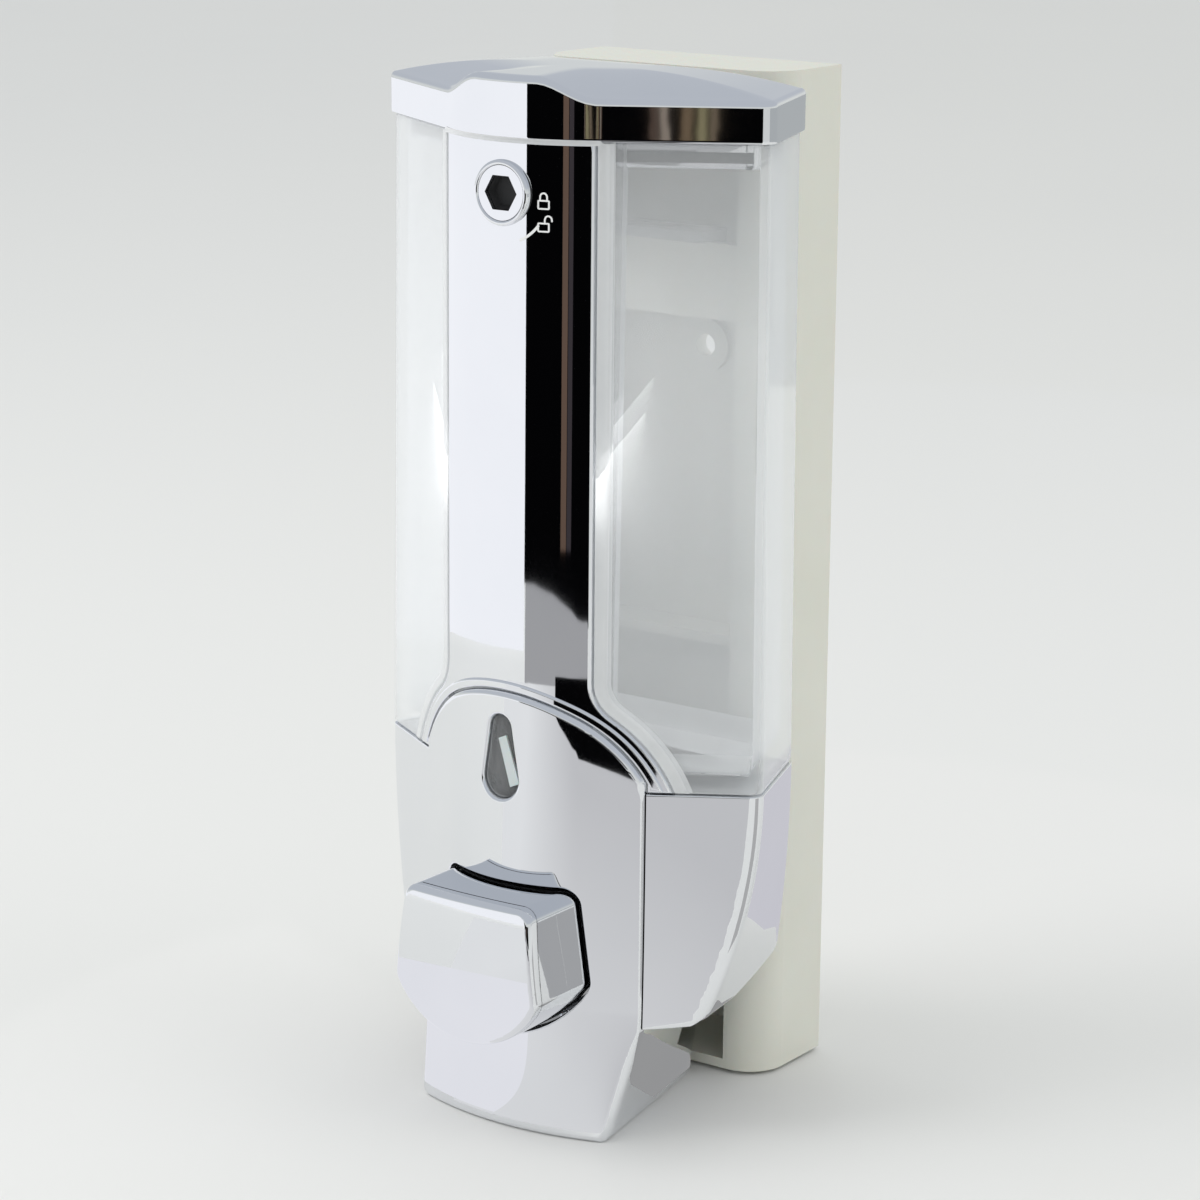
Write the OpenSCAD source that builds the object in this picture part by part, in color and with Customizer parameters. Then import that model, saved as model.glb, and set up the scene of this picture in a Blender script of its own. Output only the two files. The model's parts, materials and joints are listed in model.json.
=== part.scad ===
// Wall mounted soap dispenser: chromed body, clear reservoir, push button pump, ivory wall bracket.
// Millimetres, +Z up, the front faces -Y and the wall is the plane y = 0.
// Heights are written above the underside of the nose. placed() then moves every piece so that
// the origin is the middle of the wall screw pattern, on the wall.

/* [Body] */
// Width across the two side corners
body_w = 90; // [84:1:110]
// Depth from the flat back of the reservoir to the crown of the front strip
body_d = 48; // [46:0.5:58]
// Height from the underside of the nose to the top edge of the lid
body_h = 202; // [186:1:244]
// Width across the back of the reservoir
back_w = 72; // [66:1:78]
// Depth of the side faces, from the flat back to the side corners
side_d = 25.5; // [22:0.5:28]
// Radius of the upright corners
corner_r = 3; // [2:0.5:4]
// Height of the seam between the reservoir and the lower housing
seam_z = 70; // [68:0.5:74]

/* [Front strip and arch] */
// Width of the bulged chrome strip
strip_w = 34; // [32:1:38]
// How far the strip bulges past its own edges
strip_bulge = 5.5; // [4.5:0.5:6.5]
// Thickness of the strip
strip_t = 1.8; // [1.4:0.1:2.2]
// Radius of the arch where the front cover meets the strip
arch_r = 29; // [28:0.5:30]
// Height of the arch above the seam
arch_rise = 18.5; // [18:0.5:19.5]
// Width of the band that the strip runs round the arch
band_w = 3.2; // [2.5:0.1:4]
// Radius where the strip flares into that band
flare_r = 9; // [6:1:12]

/* [Reservoir and lid] */
// Wall of the clear reservoir
res_wall = 2.2; // [1.8:0.1:2.6]
// Floor of the clear reservoir
floor_t = 2.5; // [2:0.1:3.5]
// Height of the upright face of the lid
lid_h = 8; // [7:0.5:10]
// Rise of the domed top above the lid's edge
crown_h = 4; // [3:0.5:5]
// Wall of the lid and of the chromed shells
shell_t = 1.8; // [1.5:0.1:2.2]
// Depth of the plug that the lid pushes into the reservoir
plug_h = 5; // [4:0.5:6]

/* [Lower housing and cover] */
// Half width of the front cover, seam to seam
seam_x = 26; // [25.5:0.25:26.5]
// How far the front cover stands proud of the housing
cover_proud = 0.8; // [0.5:0.1:1.2]
// Thickness of the front cover
cover_t = 1.6; // [1.4:0.1:1.8]
// Height of the housing's lower edge at the front
chin_z = 22; // [21:0.5:23]
// How much higher that edge is at the back
chin_rise = 10; // [8:0.5:11]
// How far the side corners tuck in at the lower edge
tuck_in = 9.5; // [7:0.5:10.5]
// Half width of the nose at its underside
nose_x = 22.5; // [21:0.5:24]
// Bulge of the nose at its underside
nose_bulge = 4.3; // [3.5:0.1:5]

/* [Button and pump] */
// Half width of the button at its widest
button_x = 17; // [16:0.5:17.5]
// Height of the button
button_h = 29.5; // [28:0.5:30]
// How far the button stands out in front of the strip's crown
button_out = 13; // [12.5:0.5:16]
// Travel of the button
stroke = 10; // [7:0.5:10]
// Bore of the pump cylinder
pump_bore = 16; // [14:0.5:17]
// Wall of the pump cylinder
pump_wall = 2; // [1.6:0.1:2.2]
// Diameter of the plunger rod
rod_d = 6; // [5:0.5:7]
// Diameter of the inlet valve ball
ball_d = 5.5; // [4.5:0.5:5.5]

/* [Lock] */
// Outer diameter of the lock ring
ring_d = 12.4; // [11.6:0.2:13]
// Diameter of the lock barrel where it passes through the walls
barrel_d = 9; // [8:0.2:9.4]
// Width across the flats of the key socket
key_w = 6.4; // [5.5:0.1:6.6]
// Depth of the lock's axis below the lid's lower edge
lock_drop = 10; // [9.5:0.5:12]

/* [Wall bracket] */
// Width of the bracket
bracket_w = 57; // [52:1:60]
// Depth of the bracket off the wall
bracket_d = 22.5; // [21:0.5:26]
// Wall of the bracket
bracket_t = 2; // [1.6:0.1:2.6]
// Radius of the bracket's front corners
bracket_r = 8; // [6:0.5:8.5]
// Width of the opening in the bracket's front
mouth_w = 39; // [36:1:40]
// Diameter of the wall screw holes
screw_hole_d = 4.5; // [4:0.1:5.5]
// Height of the upper wall screw
screw_high_z = 146; // [140:1:150]
// Distance between the two wall screws
screw_pitch = 100; // [96:1:104]
// How far the dispenser lifts to come off its hooks
lift = 10; // [9:0.5:12]

/* [Hidden] */

$fn = 48;
eps = 0.02;
far = 300;
// Gap between fixed pieces that meet, and radial clearance of what turns or slides
gap = 0.15;
run_gap = 0.05;

// Plan of the body
hang_gap = 1.5;
back_y = -(bracket_d + hang_gap);
front_y = back_y - body_d;
edge_y = front_y + strip_bulge;
corner_y = back_y - side_d;
arc_r = (pow(strip_w / 2, 2) + pow(strip_bulge, 2)) / (2 * strip_bulge);
arc_y = front_y + arc_r;
window_slope = (corner_y - edge_y) / (body_w / 2 - strip_w / 2);
chin_y = front_y + 10;

// Levels
lid_z = body_h - lid_h;
arch_z = seam_z + arch_rise - arch_r;
lock_z = lid_z - lock_drop;
origin_z = screw_high_z - screw_pitch / 2;

// Insets from the body's outline
skin = 0.5;
strip_back = strip_t + gap;
rim_in = strip_back + res_wall;
plug_out = rim_in + 0.3;
plug_t = 1.5;

// Deck of the housing, under the reservoir
deck_t = 3;
deck_top = seam_z - gap;
deck_z = deck_top - deck_t;

// Pump: it lies along Y on the button's axis
button_low = 20.5;
pump_z = button_low + button_h / 2 + 0.75;
button_y = front_y - button_out + 2;
button_back = edge_y + 3.5;
button_t = 1.8;
rod_front = button_y + button_t;
gland_y = front_y + 12.5;
gland_t = 2.5;
cyl_front = gland_y + gland_t;
piston_t = 5;
piston_y = cyl_front + 1.5;
port_y = piston_y + piston_t + stroke + 3;
cyl_back = port_y + 5.5;
cyl_r = pump_bore / 2 + pump_wall;
bulk_y = gland_y + 8.5;
bulk_t = 2.5;
flange_t = 2.5;

// Inlet tower, stacked upwards from the cylinder
chamber_d = ball_d + 1.5;
tower_d = 16;
socket_d = 12.6;
cage_z = pump_z + cyl_r + 1.5;
seat_z = cage_z + ball_d + 1.6;
seat_t = 2;
tower_top = deck_z - 2.8;
spigot_d = 9.8;
spigot_bore = 6;
spigot_z = seat_z + seat_t + 1.2;
ring_section = 1.3;
ring_z = (spigot_z + tower_top) / 2;

// Outlet tower, stacked downwards to the nozzle
outlet_d = 11;
outlet_bore = 4;
outlet_z = 16;
valve_socket_d = 8.2;
valve_shelf = 22;
nozzle_z = 0.8;
nozzle_d = 9;
nozzle_bore = 6.2;

// Lock cam, inside the reservoir: its place along Y, its width and its reach from the lock's axis
cam_y = front_y + rim_in + 4;
cam_w = 4.8;
cam_reach = 9.6;

// Screws: thread diameter, head diameter and head height
thread_d = 3;
head_d = 5.6;
head_h = 1.4;
chassis_screw_x = 18;
chassis_screw_y = bulk_y + 6;
res_screw_x = 30;
res_screw_y = corner_y + 5;
res_boss_d = 7;
res_boss_z = deck_z - 4;
cover_screw_x = 21.7;
chassis_low = chin_z + chin_rise * (bulk_y + bulk_t - chin_y) / (back_y - chin_y) + 1;
chassis_boss_h = 9;
cover_screw_zs = [chassis_low + head_d / 2 + 0.8, deck_z - chassis_boss_h - head_d / 2 - 1];
cover_boss_d = 6;
pump_screw_x = cyl_r + 4;

// Wall bracket
bracket_low = 0.8;
bracket_top = body_h + 2;
hook_w = 26;
hook_t = 2.3;
hook_leg = 7;
cross_t = 2.5;
cross_y = -(bracket_d - 1);
upper_cross = [155, 170];
lower_cross = [50, 61.5];

function arc_half(x, r, y) = y - sqrt(r * r - x * x);
function front_arc(n = 16) = [
    for (i = [0:n]) let (x = strip_w * (i / n - 0.5)) [x, arc_half(x, arc_r, arc_y)]
];
function window_y(x) = edge_y + (x - strip_w / 2) * window_slope;
function tuck(z) = tuck_in * pow((seam_z - z) / (seam_z - chin_z), 2);

module placed() {
    translate([0, 0, -origin_z]) children();
}

// Outline of the body seen from above, pulled in by inset
module plan(inset = 0) {
    offset(delta = -inset)
        offset(r = corner_r, $fn = 32)
            offset(delta = -corner_r)
                polygon(concat(front_arc(), [
                    [body_w / 2, corner_y],
                    [back_w / 2, back_y],
                    [-back_w / 2, back_y],
                    [-body_w / 2, corner_y]
                ]));
}

module slab(z0, z1, inset = 0) {
    translate([0, 0, z0]) linear_extrude(z1 - z0) plan(inset);
}

module ring_wall(z0, z1, inset, t) {
    translate([0, 0, z0]) linear_extrude(z1 - z0) difference() {
        plan(inset);
        plan(inset + t);
    }
}

// Carries a front elevation, drawn in X and Z, from y0 back to y1: through the front walls unless told
module along_y(y0 = front_y - 30, y1 = corner_y - 4) {
    translate([0, y1, 0]) rotate([90, 0, 0]) linear_extrude(y1 - y0) children();
}

// A round bar along Y or Z between two places
module bar_y(x, z, d, y0, y1) {
    translate([x, y1, z]) rotate([90, 0, 0]) cylinder(d = d, h = y1 - y0);
}

module bar_z(x, y, d, z0, z1) {
    translate([x, y, z0]) cylinder(d = d, h = z1 - z0);
}

module block(x0, x1, y0, y1, z0, z1) {
    translate([x0, y0, z0]) cube([x1 - x0, y1 - y0, z1 - z0]);
}

// A pan head screw along +Z with its head at the origin
module screw(length) {
    translate([0, 0, -head_h]) cylinder(d = head_d, h = head_h);
    cylinder(d = thread_d, h = length);
}

// Front elevation of the strip: upright, then flaring into a band round the arch
module strip_face(grow = 0) {
    half = strip_w / 2;
    band_r = arch_r + band_w;
    flare_x = half + flare_r;
    flare_z = arch_z + sqrt(pow(band_r + flare_r, 2) - flare_x * flare_x);
    meet = band_r / (band_r + flare_r);
    offset(delta = grow) difference() {
        union() {
            translate([-half, arch_z]) square([strip_w, lid_z - gap - arch_z]);
            intersection() {
                translate([0, arch_z]) circle(r = band_r, $fn = 96);
                translate([-body_w / 2, seam_z + gap]) square([body_w, arch_r + band_w]);
            }
            polygon([
                [-half, flare_z],
                [half, flare_z],
                [flare_x * meet, arch_z + (flare_z - arch_z) * meet - 0.05],
                [-flare_x * meet, arch_z + (flare_z - arch_z) * meet - 0.05]
            ]);
        }
        for (side = [-1, 1])
            translate([side * flare_x, flare_z]) circle(r = flare_r, $fn = 64);
    }
}

module arch_disc(grow = 0) {
    intersection() {
        translate([0, arch_z]) circle(r = arch_r + grow, $fn = 96);
        translate([-seam_x - grow, 0]) square([2 * (seam_x + grow), far]);
    }
}

// Front elevation of the upright part of the front cover
module cover_face() {
    arch_disc();
    translate([-seam_x, 0]) square([2 * seam_x, seam_z]);
}

// Front elevation of the button: straight top, flared sides and a round bottom
module button_face(grow = 0) {
    side_z = button_low + 10.5;
    bottom_r = (button_x * button_x + 10.5 * 10.5) / 21;
    round_bottom = [
        for (i = [-10:10]) let (x = button_x * i / 10)
            [x, button_low + bottom_r - sqrt(bottom_r * bottom_r - x * x)]
    ];
    offset(r = 2.5 + grow, $fn = 32) offset(delta = -2.5) polygon(concat(round_bottom, [
        [button_x, side_z],
        [button_x - 2, button_low + button_h],
        [-button_x + 2, button_low + button_h],
        [-button_x, side_z]
    ]));
}

// Front elevation of the sight window, narrow at the top
module window_face(grow = 0) {
    offset(r = grow) hull() {
        translate([0, seam_z + 11.8]) circle(r = 1.9, $fn = 32);
        translate([0, seam_z + 1.4]) circle(r = 4.3, $fn = 32);
    }
}

// Everything above, or below, the housing's lower edge: level at the front, then rising to the back
module edge_side(end_z, raise = 0) {
    translate([-far / 2, 0, 0]) rotate([90, 0, 90]) linear_extrude(far) polygon([
        [front_y - 30, chin_z + raise],
        [chin_y, chin_z + raise],
        [back_y + 5, chin_z + chin_rise * (back_y + 5 - chin_y) / (back_y - chin_y) + raise],
        [back_y + 5, end_z],
        [front_y - 30, end_z]
    ]);
}

// Level section of the housing at height z, its corners tucked in below the seam
module tucked(z, inset) {
    t = tuck(z);
    translate([0, 0, z]) linear_extrude(eps) offset(delta = -inset)
        offset(r = corner_r, $fn = 24) offset(delta = -corner_r) polygon([
            [-strip_w / 2, edge_y],
            [strip_w / 2, edge_y],
            [body_w / 2 - t, corner_y - 0.7 * t],
            [back_w / 2 - 0.35 * t, back_y],
            [-back_w / 2 + 0.35 * t, back_y],
            [-body_w / 2 + t, corner_y - 0.7 * t]
        ]);
}

module tucked_body(inset, top_z) {
    steps = 4;
    hull() for (i = [0:steps]) tucked(chin_z - 2 + (top_z - eps - chin_z + 2) * i / steps, inset);
}

// Sections of the nose: as wide as the cover at the chin, narrower at its underside
module nose_top(inset) {
    offset(delta = -inset) intersection() {
        plan(-cover_proud);
        polygon([
            [-seam_x, -far],
            [seam_x, -far],
            [seam_x, window_y(seam_x) + 2],
            [seam_x - 8, port_y + 9.5],
            [-seam_x + 8, port_y + 9.5],
            [-seam_x, window_y(seam_x) + 2]
        ]);
    }
}

module nose_foot(inset) {
    r = (nose_x * nose_x + nose_bulge * nose_bulge) / (2 * nose_bulge);
    y = front_y - cover_proud + r;
    front = [for (i = [-6:6]) let (x = nose_x * i / 6) [x, arc_half(x, r, y)]];
    offset(delta = -inset)
        polygon(concat(front, [[nose_x - 7.5, port_y + 10.5], [-nose_x + 7.5, port_y + 10.5]]));
}

module nose_solid(inset, foot_z, raise) {
    hull() {
        translate([0, 0, foot_z]) linear_extrude(eps) nose_foot(inset);
        intersection() {
            translate([0, 0, chin_z - eps]) linear_extrude(chin_rise + 3) nose_top(inset);
            edge_side(0, raise);
        }
    }
}

// A hook on the back of the body: an arm over the bracket's cross plate and a leg behind it
module back_hook(plate_top) {
    leg_back = cross_y + cross_t + 0.8;
    block(-hook_w / 2, hook_w / 2, back_y - 1, leg_back + hook_t, plate_top + gap, plate_top + gap + hook_t);
    block(-hook_w / 2, hook_w / 2, leg_back, leg_back + hook_t, plate_top - hook_leg, plate_top + gap + hook_t);
}

module bracket_plan(inset) {
    w = bracket_w / 2 - inset;
    d = bracket_d - inset;
    r = bracket_r - inset;
    translate([-w, -d + r]) square([2 * w, d - r - inset]);
    translate([-w + r, -d]) square([2 * (w - r), d - inset]);
    for (side = [-1, 1]) translate([side * (w - r), -d + r]) circle(r = r);
}

module wall_bracket() {
    inner_w = bracket_w / 2 - bracket_t / 2;
    color("ivory") placed() difference() {
        union() {
            difference() {
                translate([0, 0, bracket_low]) linear_extrude(bracket_top - bracket_low) bracket_plan(0);
                translate([0, 0, bracket_low + bracket_t])
                    linear_extrude(bracket_top - bracket_low - 2 * bracket_t) bracket_plan(bracket_t);
                block(-mouth_w / 2, mouth_w / 2, -bracket_d - 1, -bracket_d + bracket_t + 3,
                    bracket_low + bracket_t, bracket_top - bracket_t);
            }
            for (level = [upper_cross, lower_cross])
                block(-inner_w, inner_w, cross_y, cross_y + cross_t, level[0], level[1]);
            block(-inner_w, inner_w, -bracket_d / 2, -1, 86.5, 88.5);
            for (z = [screw_high_z, screw_high_z - screw_pitch])
                bar_y(0, z, 2.4 * screw_hole_d, -bracket_t - 1.5, -1);
        }
        for (z = [screw_high_z, screw_high_z - screw_pitch])
            bar_y(0, z, screw_hole_d, -bracket_d - 1, 1);
    }
}

module reservoir() {
    top_z = lid_z - gap;
    color("aliceblue", 0.5) placed() difference() {
        union() {
            difference() {
                slab(seam_z, top_z, skin);
                slab(seam_z + floor_t, top_z + 1, skin + res_wall);
            }
            ring_wall(lid_z - plug_h - 3, top_z, skin + 1, rim_in - skin - 1);
            intersection() {
                along_y() strip_face(res_wall + 0.5);
                ring_wall(seam_z, top_z, skin + 1, rim_in - skin - 1);
            }
            intersection() {
                along_y() difference() {
                    strip_face(2.4);
                    strip_face(0.3);
                }
                ring_wall(seam_z, top_z, -0.3, res_wall);
            }
            back_hook(upper_cross[1]);
            bar_z(0, port_y, spigot_d, spigot_z, seam_z + 1);
            for (side = [-1, 1])
                bar_z(side * res_screw_x, res_screw_y, res_boss_d, res_boss_z, seam_z + 1);
        }
        intersection() {
            along_y() {
                strip_face(0.2);
                arch_disc(0.3);
            }
            ring_wall(seam_z - 1, top_z + 1, -2, strip_back + 2);
        }
        bar_y(0, lock_z, barrel_d + 2 * run_gap, -far, corner_y);
        bar_z(0, port_y, spigot_bore, spigot_z - 1, seam_z + floor_t + 1);
        for (side = [-1, 1])
            bar_z(side * res_screw_x, res_screw_y, thread_d + 2 * run_gap, res_boss_z - 1, seam_z + 0.8);
    }
}

module lid_dome(inset, lower) {
    hull() {
        translate([0, 0, body_h - 1 - lower]) linear_extrude(1) plan(inset);
        translate([0, 0, body_h + crown_h * 0.65 - lower]) linear_extrude(eps) plan(inset + 3.5);
        translate([0, 0, body_h + crown_h - eps - lower]) linear_extrude(eps) plan(inset + 12);
    }
}

module lid() {
    leg_t = 2.4;
    catch_x = cam_reach + 0.4;
    catch_z = lock_z - cam_w / 2 - 1.2;
    catch_y = arc_half(catch_x + leg_t, arc_r - plug_out - 1.1, arc_y);
    catch_back = catch_y + 2.8;
    color("silver") placed() {
        difference() {
            union() {
                slab(lid_z, body_h, 0);
                lid_dome(0.3, 0);
                intersection() {
                    slab(body_h - 2, body_h + crown_h - 0.4, 0.5);
                    block(-strip_w / 2, strip_w / 2, -far, corner_y, 0, far);
                }
            }
            slab(lid_z - 1, body_h - 0.7, shell_t);
            lid_dome(shell_t + 1, shell_t);
        }
        difference() {
            ring_wall(lid_z - plug_h, body_h, plug_out, plug_t);
            ring_wall(lid_z - plug_h + 1, lid_z - plug_h + 3.1, plug_out - 1, 2);
        }
        block(catch_x, catch_x + leg_t, catch_y, catch_back, catch_z - 3.4, body_h + crown_h * 0.55);
        block(barrel_d / 2 + 0.7, catch_x + 1, catch_y, catch_back, catch_z - 3.4, catch_z);
    }
}

module lid_seal() {
    color("dimgray") placed()
        ring_wall(lid_z - plug_h + 1.05, lid_z - plug_h + 3.05, plug_out - 0.05, 1.02);
}

module front_strip() {
    color("silver") placed() difference() {
        intersection() {
            along_y() difference() {
                strip_face();
                arch_disc(0.3);
            }
            ring_wall(seam_z, lid_z, 0, strip_t);
        }
        bar_y(0, lock_z, ring_d + 0.2, -far, corner_y);
    }
}

module lock_ring() {
    color("gainsboro") placed() difference() {
        bar_y(0, lock_z, ring_d, front_y - 0.9, front_y + strip_t);
        bar_y(0, lock_z, ring_d - 2, front_y - 2, front_y + strip_t + 1);
    }
}

// The barrel: head, shank through the walls, and a neck that carries the cam
module lock_barrel() {
    color("darkgray") placed() difference() {
        union() {
            bar_y(0, lock_z, ring_d - 2 - 2 * run_gap, front_y - 0.6, front_y + strip_t);
            bar_y(0, lock_z, barrel_d, front_y + strip_t - 1, cam_y - gap);
            bar_y(0, lock_z, 5, cam_y - 1, cam_y + 2);
        }
        translate([0, front_y + 5.4, lock_z]) rotate([90, 0, 0]) cylinder(d = key_w / cos(30), h = 10, $fn = 6);
        bar_y(0, lock_z, 2.5, cam_y - 1.5, cam_y + 3);
    }
}

module lock_cam() {
    color("goldenrod") placed() difference() {
        union() {
            bar_y(0, lock_z, barrel_d, cam_y, cam_y + 2);
            block(-cam_w / 2, cam_w / 2, cam_y, cam_y + 2, lock_z, lock_z + cam_reach - 0.4);
        }
        bar_y(0, lock_z, 5 + 2 * run_gap, cam_y - 1, cam_y + 3);
    }
}

module cam_screw() {
    color("gray") placed() {
        bar_y(0, lock_z, 7, cam_y + 2 + run_gap, cam_y + 3.5);
        bar_y(0, lock_z, 2.4, cam_y - 1.2, cam_y + 3);
    }
}

module front_cover() {
    color("silver") placed() difference() {
        union() {
            intersection() {
                ring_wall(chin_z - 0.3, seam_z + arch_rise + 1, -cover_proud, cover_t);
                along_y() cover_face();
            }
            difference() {
                nose_solid(0, 0, 0);
                nose_solid(cover_t, 2, 1);
            }
            intersection() {
                along_y() difference() {
                    button_face(1.8);
                    button_face(0.6);
                }
                ring_wall(chin_z - 4, seam_z, -cover_proud - 0.6, 1.6);
            }
            intersection() {
                for (side = [-1, 1], z = cover_screw_zs)
                    bar_y(side * cover_screw_x, z, cover_boss_d, front_y, bulk_y - gap);
                slab(0, seam_z, 0);
            }
        }
        along_y() button_face(0.4);
        along_y() window_face();
        for (side = [-1, 1], z = cover_screw_zs)
            bar_y(side * cover_screw_x, z, thread_d + 2 * run_gap, bulk_y - 9, bulk_y + 1);
        bar_z(0, port_y, nozzle_d + 0.6, -1, 3);
    }
}

module sight_window() {
    color("lightcyan", 0.5) placed() {
        intersection() {
            along_y() window_face(-0.1);
            ring_wall(seam_z - 6, seam_z + 16, -cover_proud + 0.2, cover_t);
        }
        intersection() {
            along_y() window_face(1.2);
            ring_wall(seam_z - 6, seam_z + 16, cover_t - cover_proud + 0.05, 0.8);
        }
    }
}

module lower_housing() {
    notch_x = seam_x + 0.2;
    color("silver") placed() difference() {
        union() {
            difference() {
                tucked_body(0, deck_top);
                tucked_body(shell_t, deck_z);
                block(-notch_x, notch_x, -far, corner_y, deck_z - 1, seam_z + 1);
            }
            intersection() {
                slab(deck_z, deck_top, strip_back + 0.3);
                block(-notch_x - 1, notch_x + 1, -far, corner_y + 1, 0, far);
            }
            back_hook(lower_cross[1]);
        }
        edge_side(0);
        block(-notch_x, notch_x, -far, bulk_y + bulk_t + 2, 0, deck_z);
        bar_z(0, port_y, spigot_d + 0.6, deck_z - 1, seam_z + 1);
        bar_z(0, port_y, outlet_d + 4, 0, chin_z + chin_rise + 4);
        for (side = [-1, 1]) {
            bar_z(side * chassis_screw_x, chassis_screw_y, thread_d + 0.4, deck_z - 1, seam_z + 1);
            bar_z(side * chassis_screw_x, chassis_screw_y, head_d + 0.4, deck_top - head_h - 0.1, seam_z + 1);
            bar_z(side * res_screw_x, res_screw_y, res_boss_d + 0.4, deck_z - 1, seam_z + 1);
        }
    }
}

module pump_chassis() {
    half = seam_x - 1;
    color("gainsboro") placed() difference() {
        union() {
            block(-half, half, bulk_y, bulk_y + bulk_t, chassis_low, deck_z - gap);
            block(-half, half, bulk_y, bulk_y + 9, deck_z - 2.5, deck_z - gap);
            for (side = [-1, 1])
                bar_z(side * chassis_screw_x, chassis_screw_y, 6, deck_z - chassis_boss_h, deck_z - 1);
        }
        bar_y(0, pump_z, 2 * cyl_r + 0.3, bulk_y - 1, bulk_y + bulk_t + 1);
        bar_z(0, port_y, tower_d + 1, deck_z - 10, deck_z + 1);
        for (side = [-1, 1]) {
            bar_z(side * chassis_screw_x, chassis_screw_y, thread_d + 2 * run_gap, deck_z - 10, deck_z + 1);
            bar_y(side * pump_screw_x, pump_z, thread_d + 2 * run_gap, bulk_y - 1, bulk_y + bulk_t + 1);
            for (z = cover_screw_zs)
                bar_y(side * cover_screw_x, z, thread_d + 0.4, bulk_y - 1, bulk_y + bulk_t + 1);
        }
    }
}

module chassis_screws() {
    color("gray") placed() for (side = [-1, 1])
        translate([side * chassis_screw_x, chassis_screw_y, deck_top - head_h]) rotate([180, 0, 0]) screw(8);
}

module reservoir_screws() {
    washer_t = 1;
    color("gray") placed() for (side = [-1, 1])
        translate([side * res_screw_x, res_screw_y, res_boss_z - washer_t - gap]) {
            screw(seam_z - res_boss_z - 1);
            cylinder(d = res_boss_d + 2.5, h = washer_t);
        }
}

module cover_screws() {
    color("gray") placed() for (side = [-1, 1], z = cover_screw_zs)
        translate([side * cover_screw_x, bulk_y + bulk_t + run_gap, z]) rotate([90, 0, 0]) screw(10);
}

// The chromed button: a domed cap, a hollow skirt and a lip that stops behind the cover
module push_button() {
    color("silver") placed() difference() {
        union() {
            along_y(button_y, button_back) button_face();
            hull() {
                along_y(button_y - eps, button_y) button_face(-0.05);
                along_y(button_y - 1.4, button_y - 1.4 + eps) button_face(-2);
                along_y(button_y - 2, button_y - 2 + eps) button_face(-6);
            }
            along_y(button_back - 1.4, button_back) button_face(1.2);
        }
        along_y(rod_front, button_back + 1) button_face(-button_t);
    }
}

module plunger_rod() {
    color("whitesmoke") placed() {
        bar_y(0, pump_z, rod_d + 8, rod_front, rod_front + 1.5);
        bar_y(0, pump_z, rod_d, rod_front, piston_y + piston_t + 1);
        bar_y(0, pump_z, rod_d + 3, piston_y + piston_t + run_gap, piston_y + piston_t + 1.5);
    }
}

module piston() {
    d = pump_bore - 4 * run_gap;
    color("white") placed() difference() {
        bar_y(0, pump_z, d, piston_y, piston_y + piston_t);
        bar_y(0, pump_z, rod_d + 2 * run_gap, piston_y - 1, piston_y + piston_t + 1);
        difference() {
            bar_y(0, pump_z, d + 2, piston_y + 1.5, piston_y + 3.5);
            bar_y(0, pump_z, d - 3, piston_y + 1, piston_y + 4);
        }
    }
}

module piston_seal() {
    d = pump_bore - 4 * run_gap;
    color("black") placed() difference() {
        bar_y(0, pump_z, pump_bore - run_gap, piston_y + 1.55, piston_y + 3.45);
        bar_y(0, pump_z, d - 3 + 2 * run_gap, piston_y, piston_y + 5);
    }
}

// The spring's wire is swept round its axis by short straight bars
module return_spring() {
    wire = 1.1;
    coil_r = rod_d / 2 + 2.1;
    turns = 7;
    steps = 14;
    y0 = rod_front + 1.5 + wire / 2 + run_gap;
    y1 = gland_y - wire / 2 - run_gap;
    rings = [
        for (i = [0:turns * steps]) let (a = 360 * i / steps, y = y0 + (y1 - y0) * i / (turns * steps))
            for (k = [0:5]) let (b = 60 * k, r = coil_r + wire / 2 * cos(b))
                [r * cos(a), y + wire / 2 * sin(b), pump_z + r * sin(a)]
    ];
    last = turns * steps;
    walls = [
        for (i = [0:last - 1], k = [0:5]) let (n = (k + 1) % 6)
            [6 * i + k, 6 * i + n, 6 * (i + 1) + n, 6 * (i + 1) + k]
    ];
    ends = [[5, 4, 3, 2, 1, 0], [for (k = [0:5]) 6 * last + k]];
    color("lightsteelblue") placed() polyhedron(points = rings, faces = concat(walls, ends), convexity = 10);
}

module pump_cylinder() {
    color("whitesmoke") placed() difference() {
        union() {
            bar_y(0, pump_z, 2 * cyl_r, cyl_front, cyl_back);
            bar_z(0, port_y, tower_d, pump_z, tower_top);
            bar_z(0, port_y, outlet_d, outlet_z, pump_z);
            block(-pump_screw_x - 3.5, pump_screw_x + 3.5, bulk_y + bulk_t + gap, bulk_y + bulk_t + gap + flange_t,
                pump_z - 5, pump_z + 5);
        }
        bar_y(0, pump_z, pump_bore, cyl_front - 1, cyl_back - pump_wall);
        difference() {
            bar_z(0, port_y, chamber_d, pump_z, seat_z + 1);
            for (turn = [0, 90])
                translate([0, port_y, cage_z - 0.8]) rotate([0, 0, turn]) cube([tower_d, 1, 1.6], center = true);
        }
        bar_z(0, port_y, socket_d, seat_z, tower_top + 1);
        bar_z(0, port_y, outlet_bore, outlet_z - 1, pump_z);
        bar_z(0, port_y, valve_socket_d, outlet_z - 1, valve_shelf);
        for (side = [-1, 1])
            bar_y(side * pump_screw_x, pump_z, thread_d + 0.4, bulk_y, bulk_y + bulk_t + flange_t + 1);
    }
}

// Front cap of the cylinder, which guides the rod
module pump_gland() {
    color("lightgray") placed() difference() {
        union() {
            bar_y(0, pump_z, 2 * cyl_r, gland_y, cyl_front);
            bar_y(0, pump_z, pump_bore - 2 * run_gap, cyl_front - 1, cyl_front + 1);
        }
        bar_y(0, pump_z, rod_d + 2 * run_gap, gland_y - 1, cyl_front + 2);
    }
}

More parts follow.
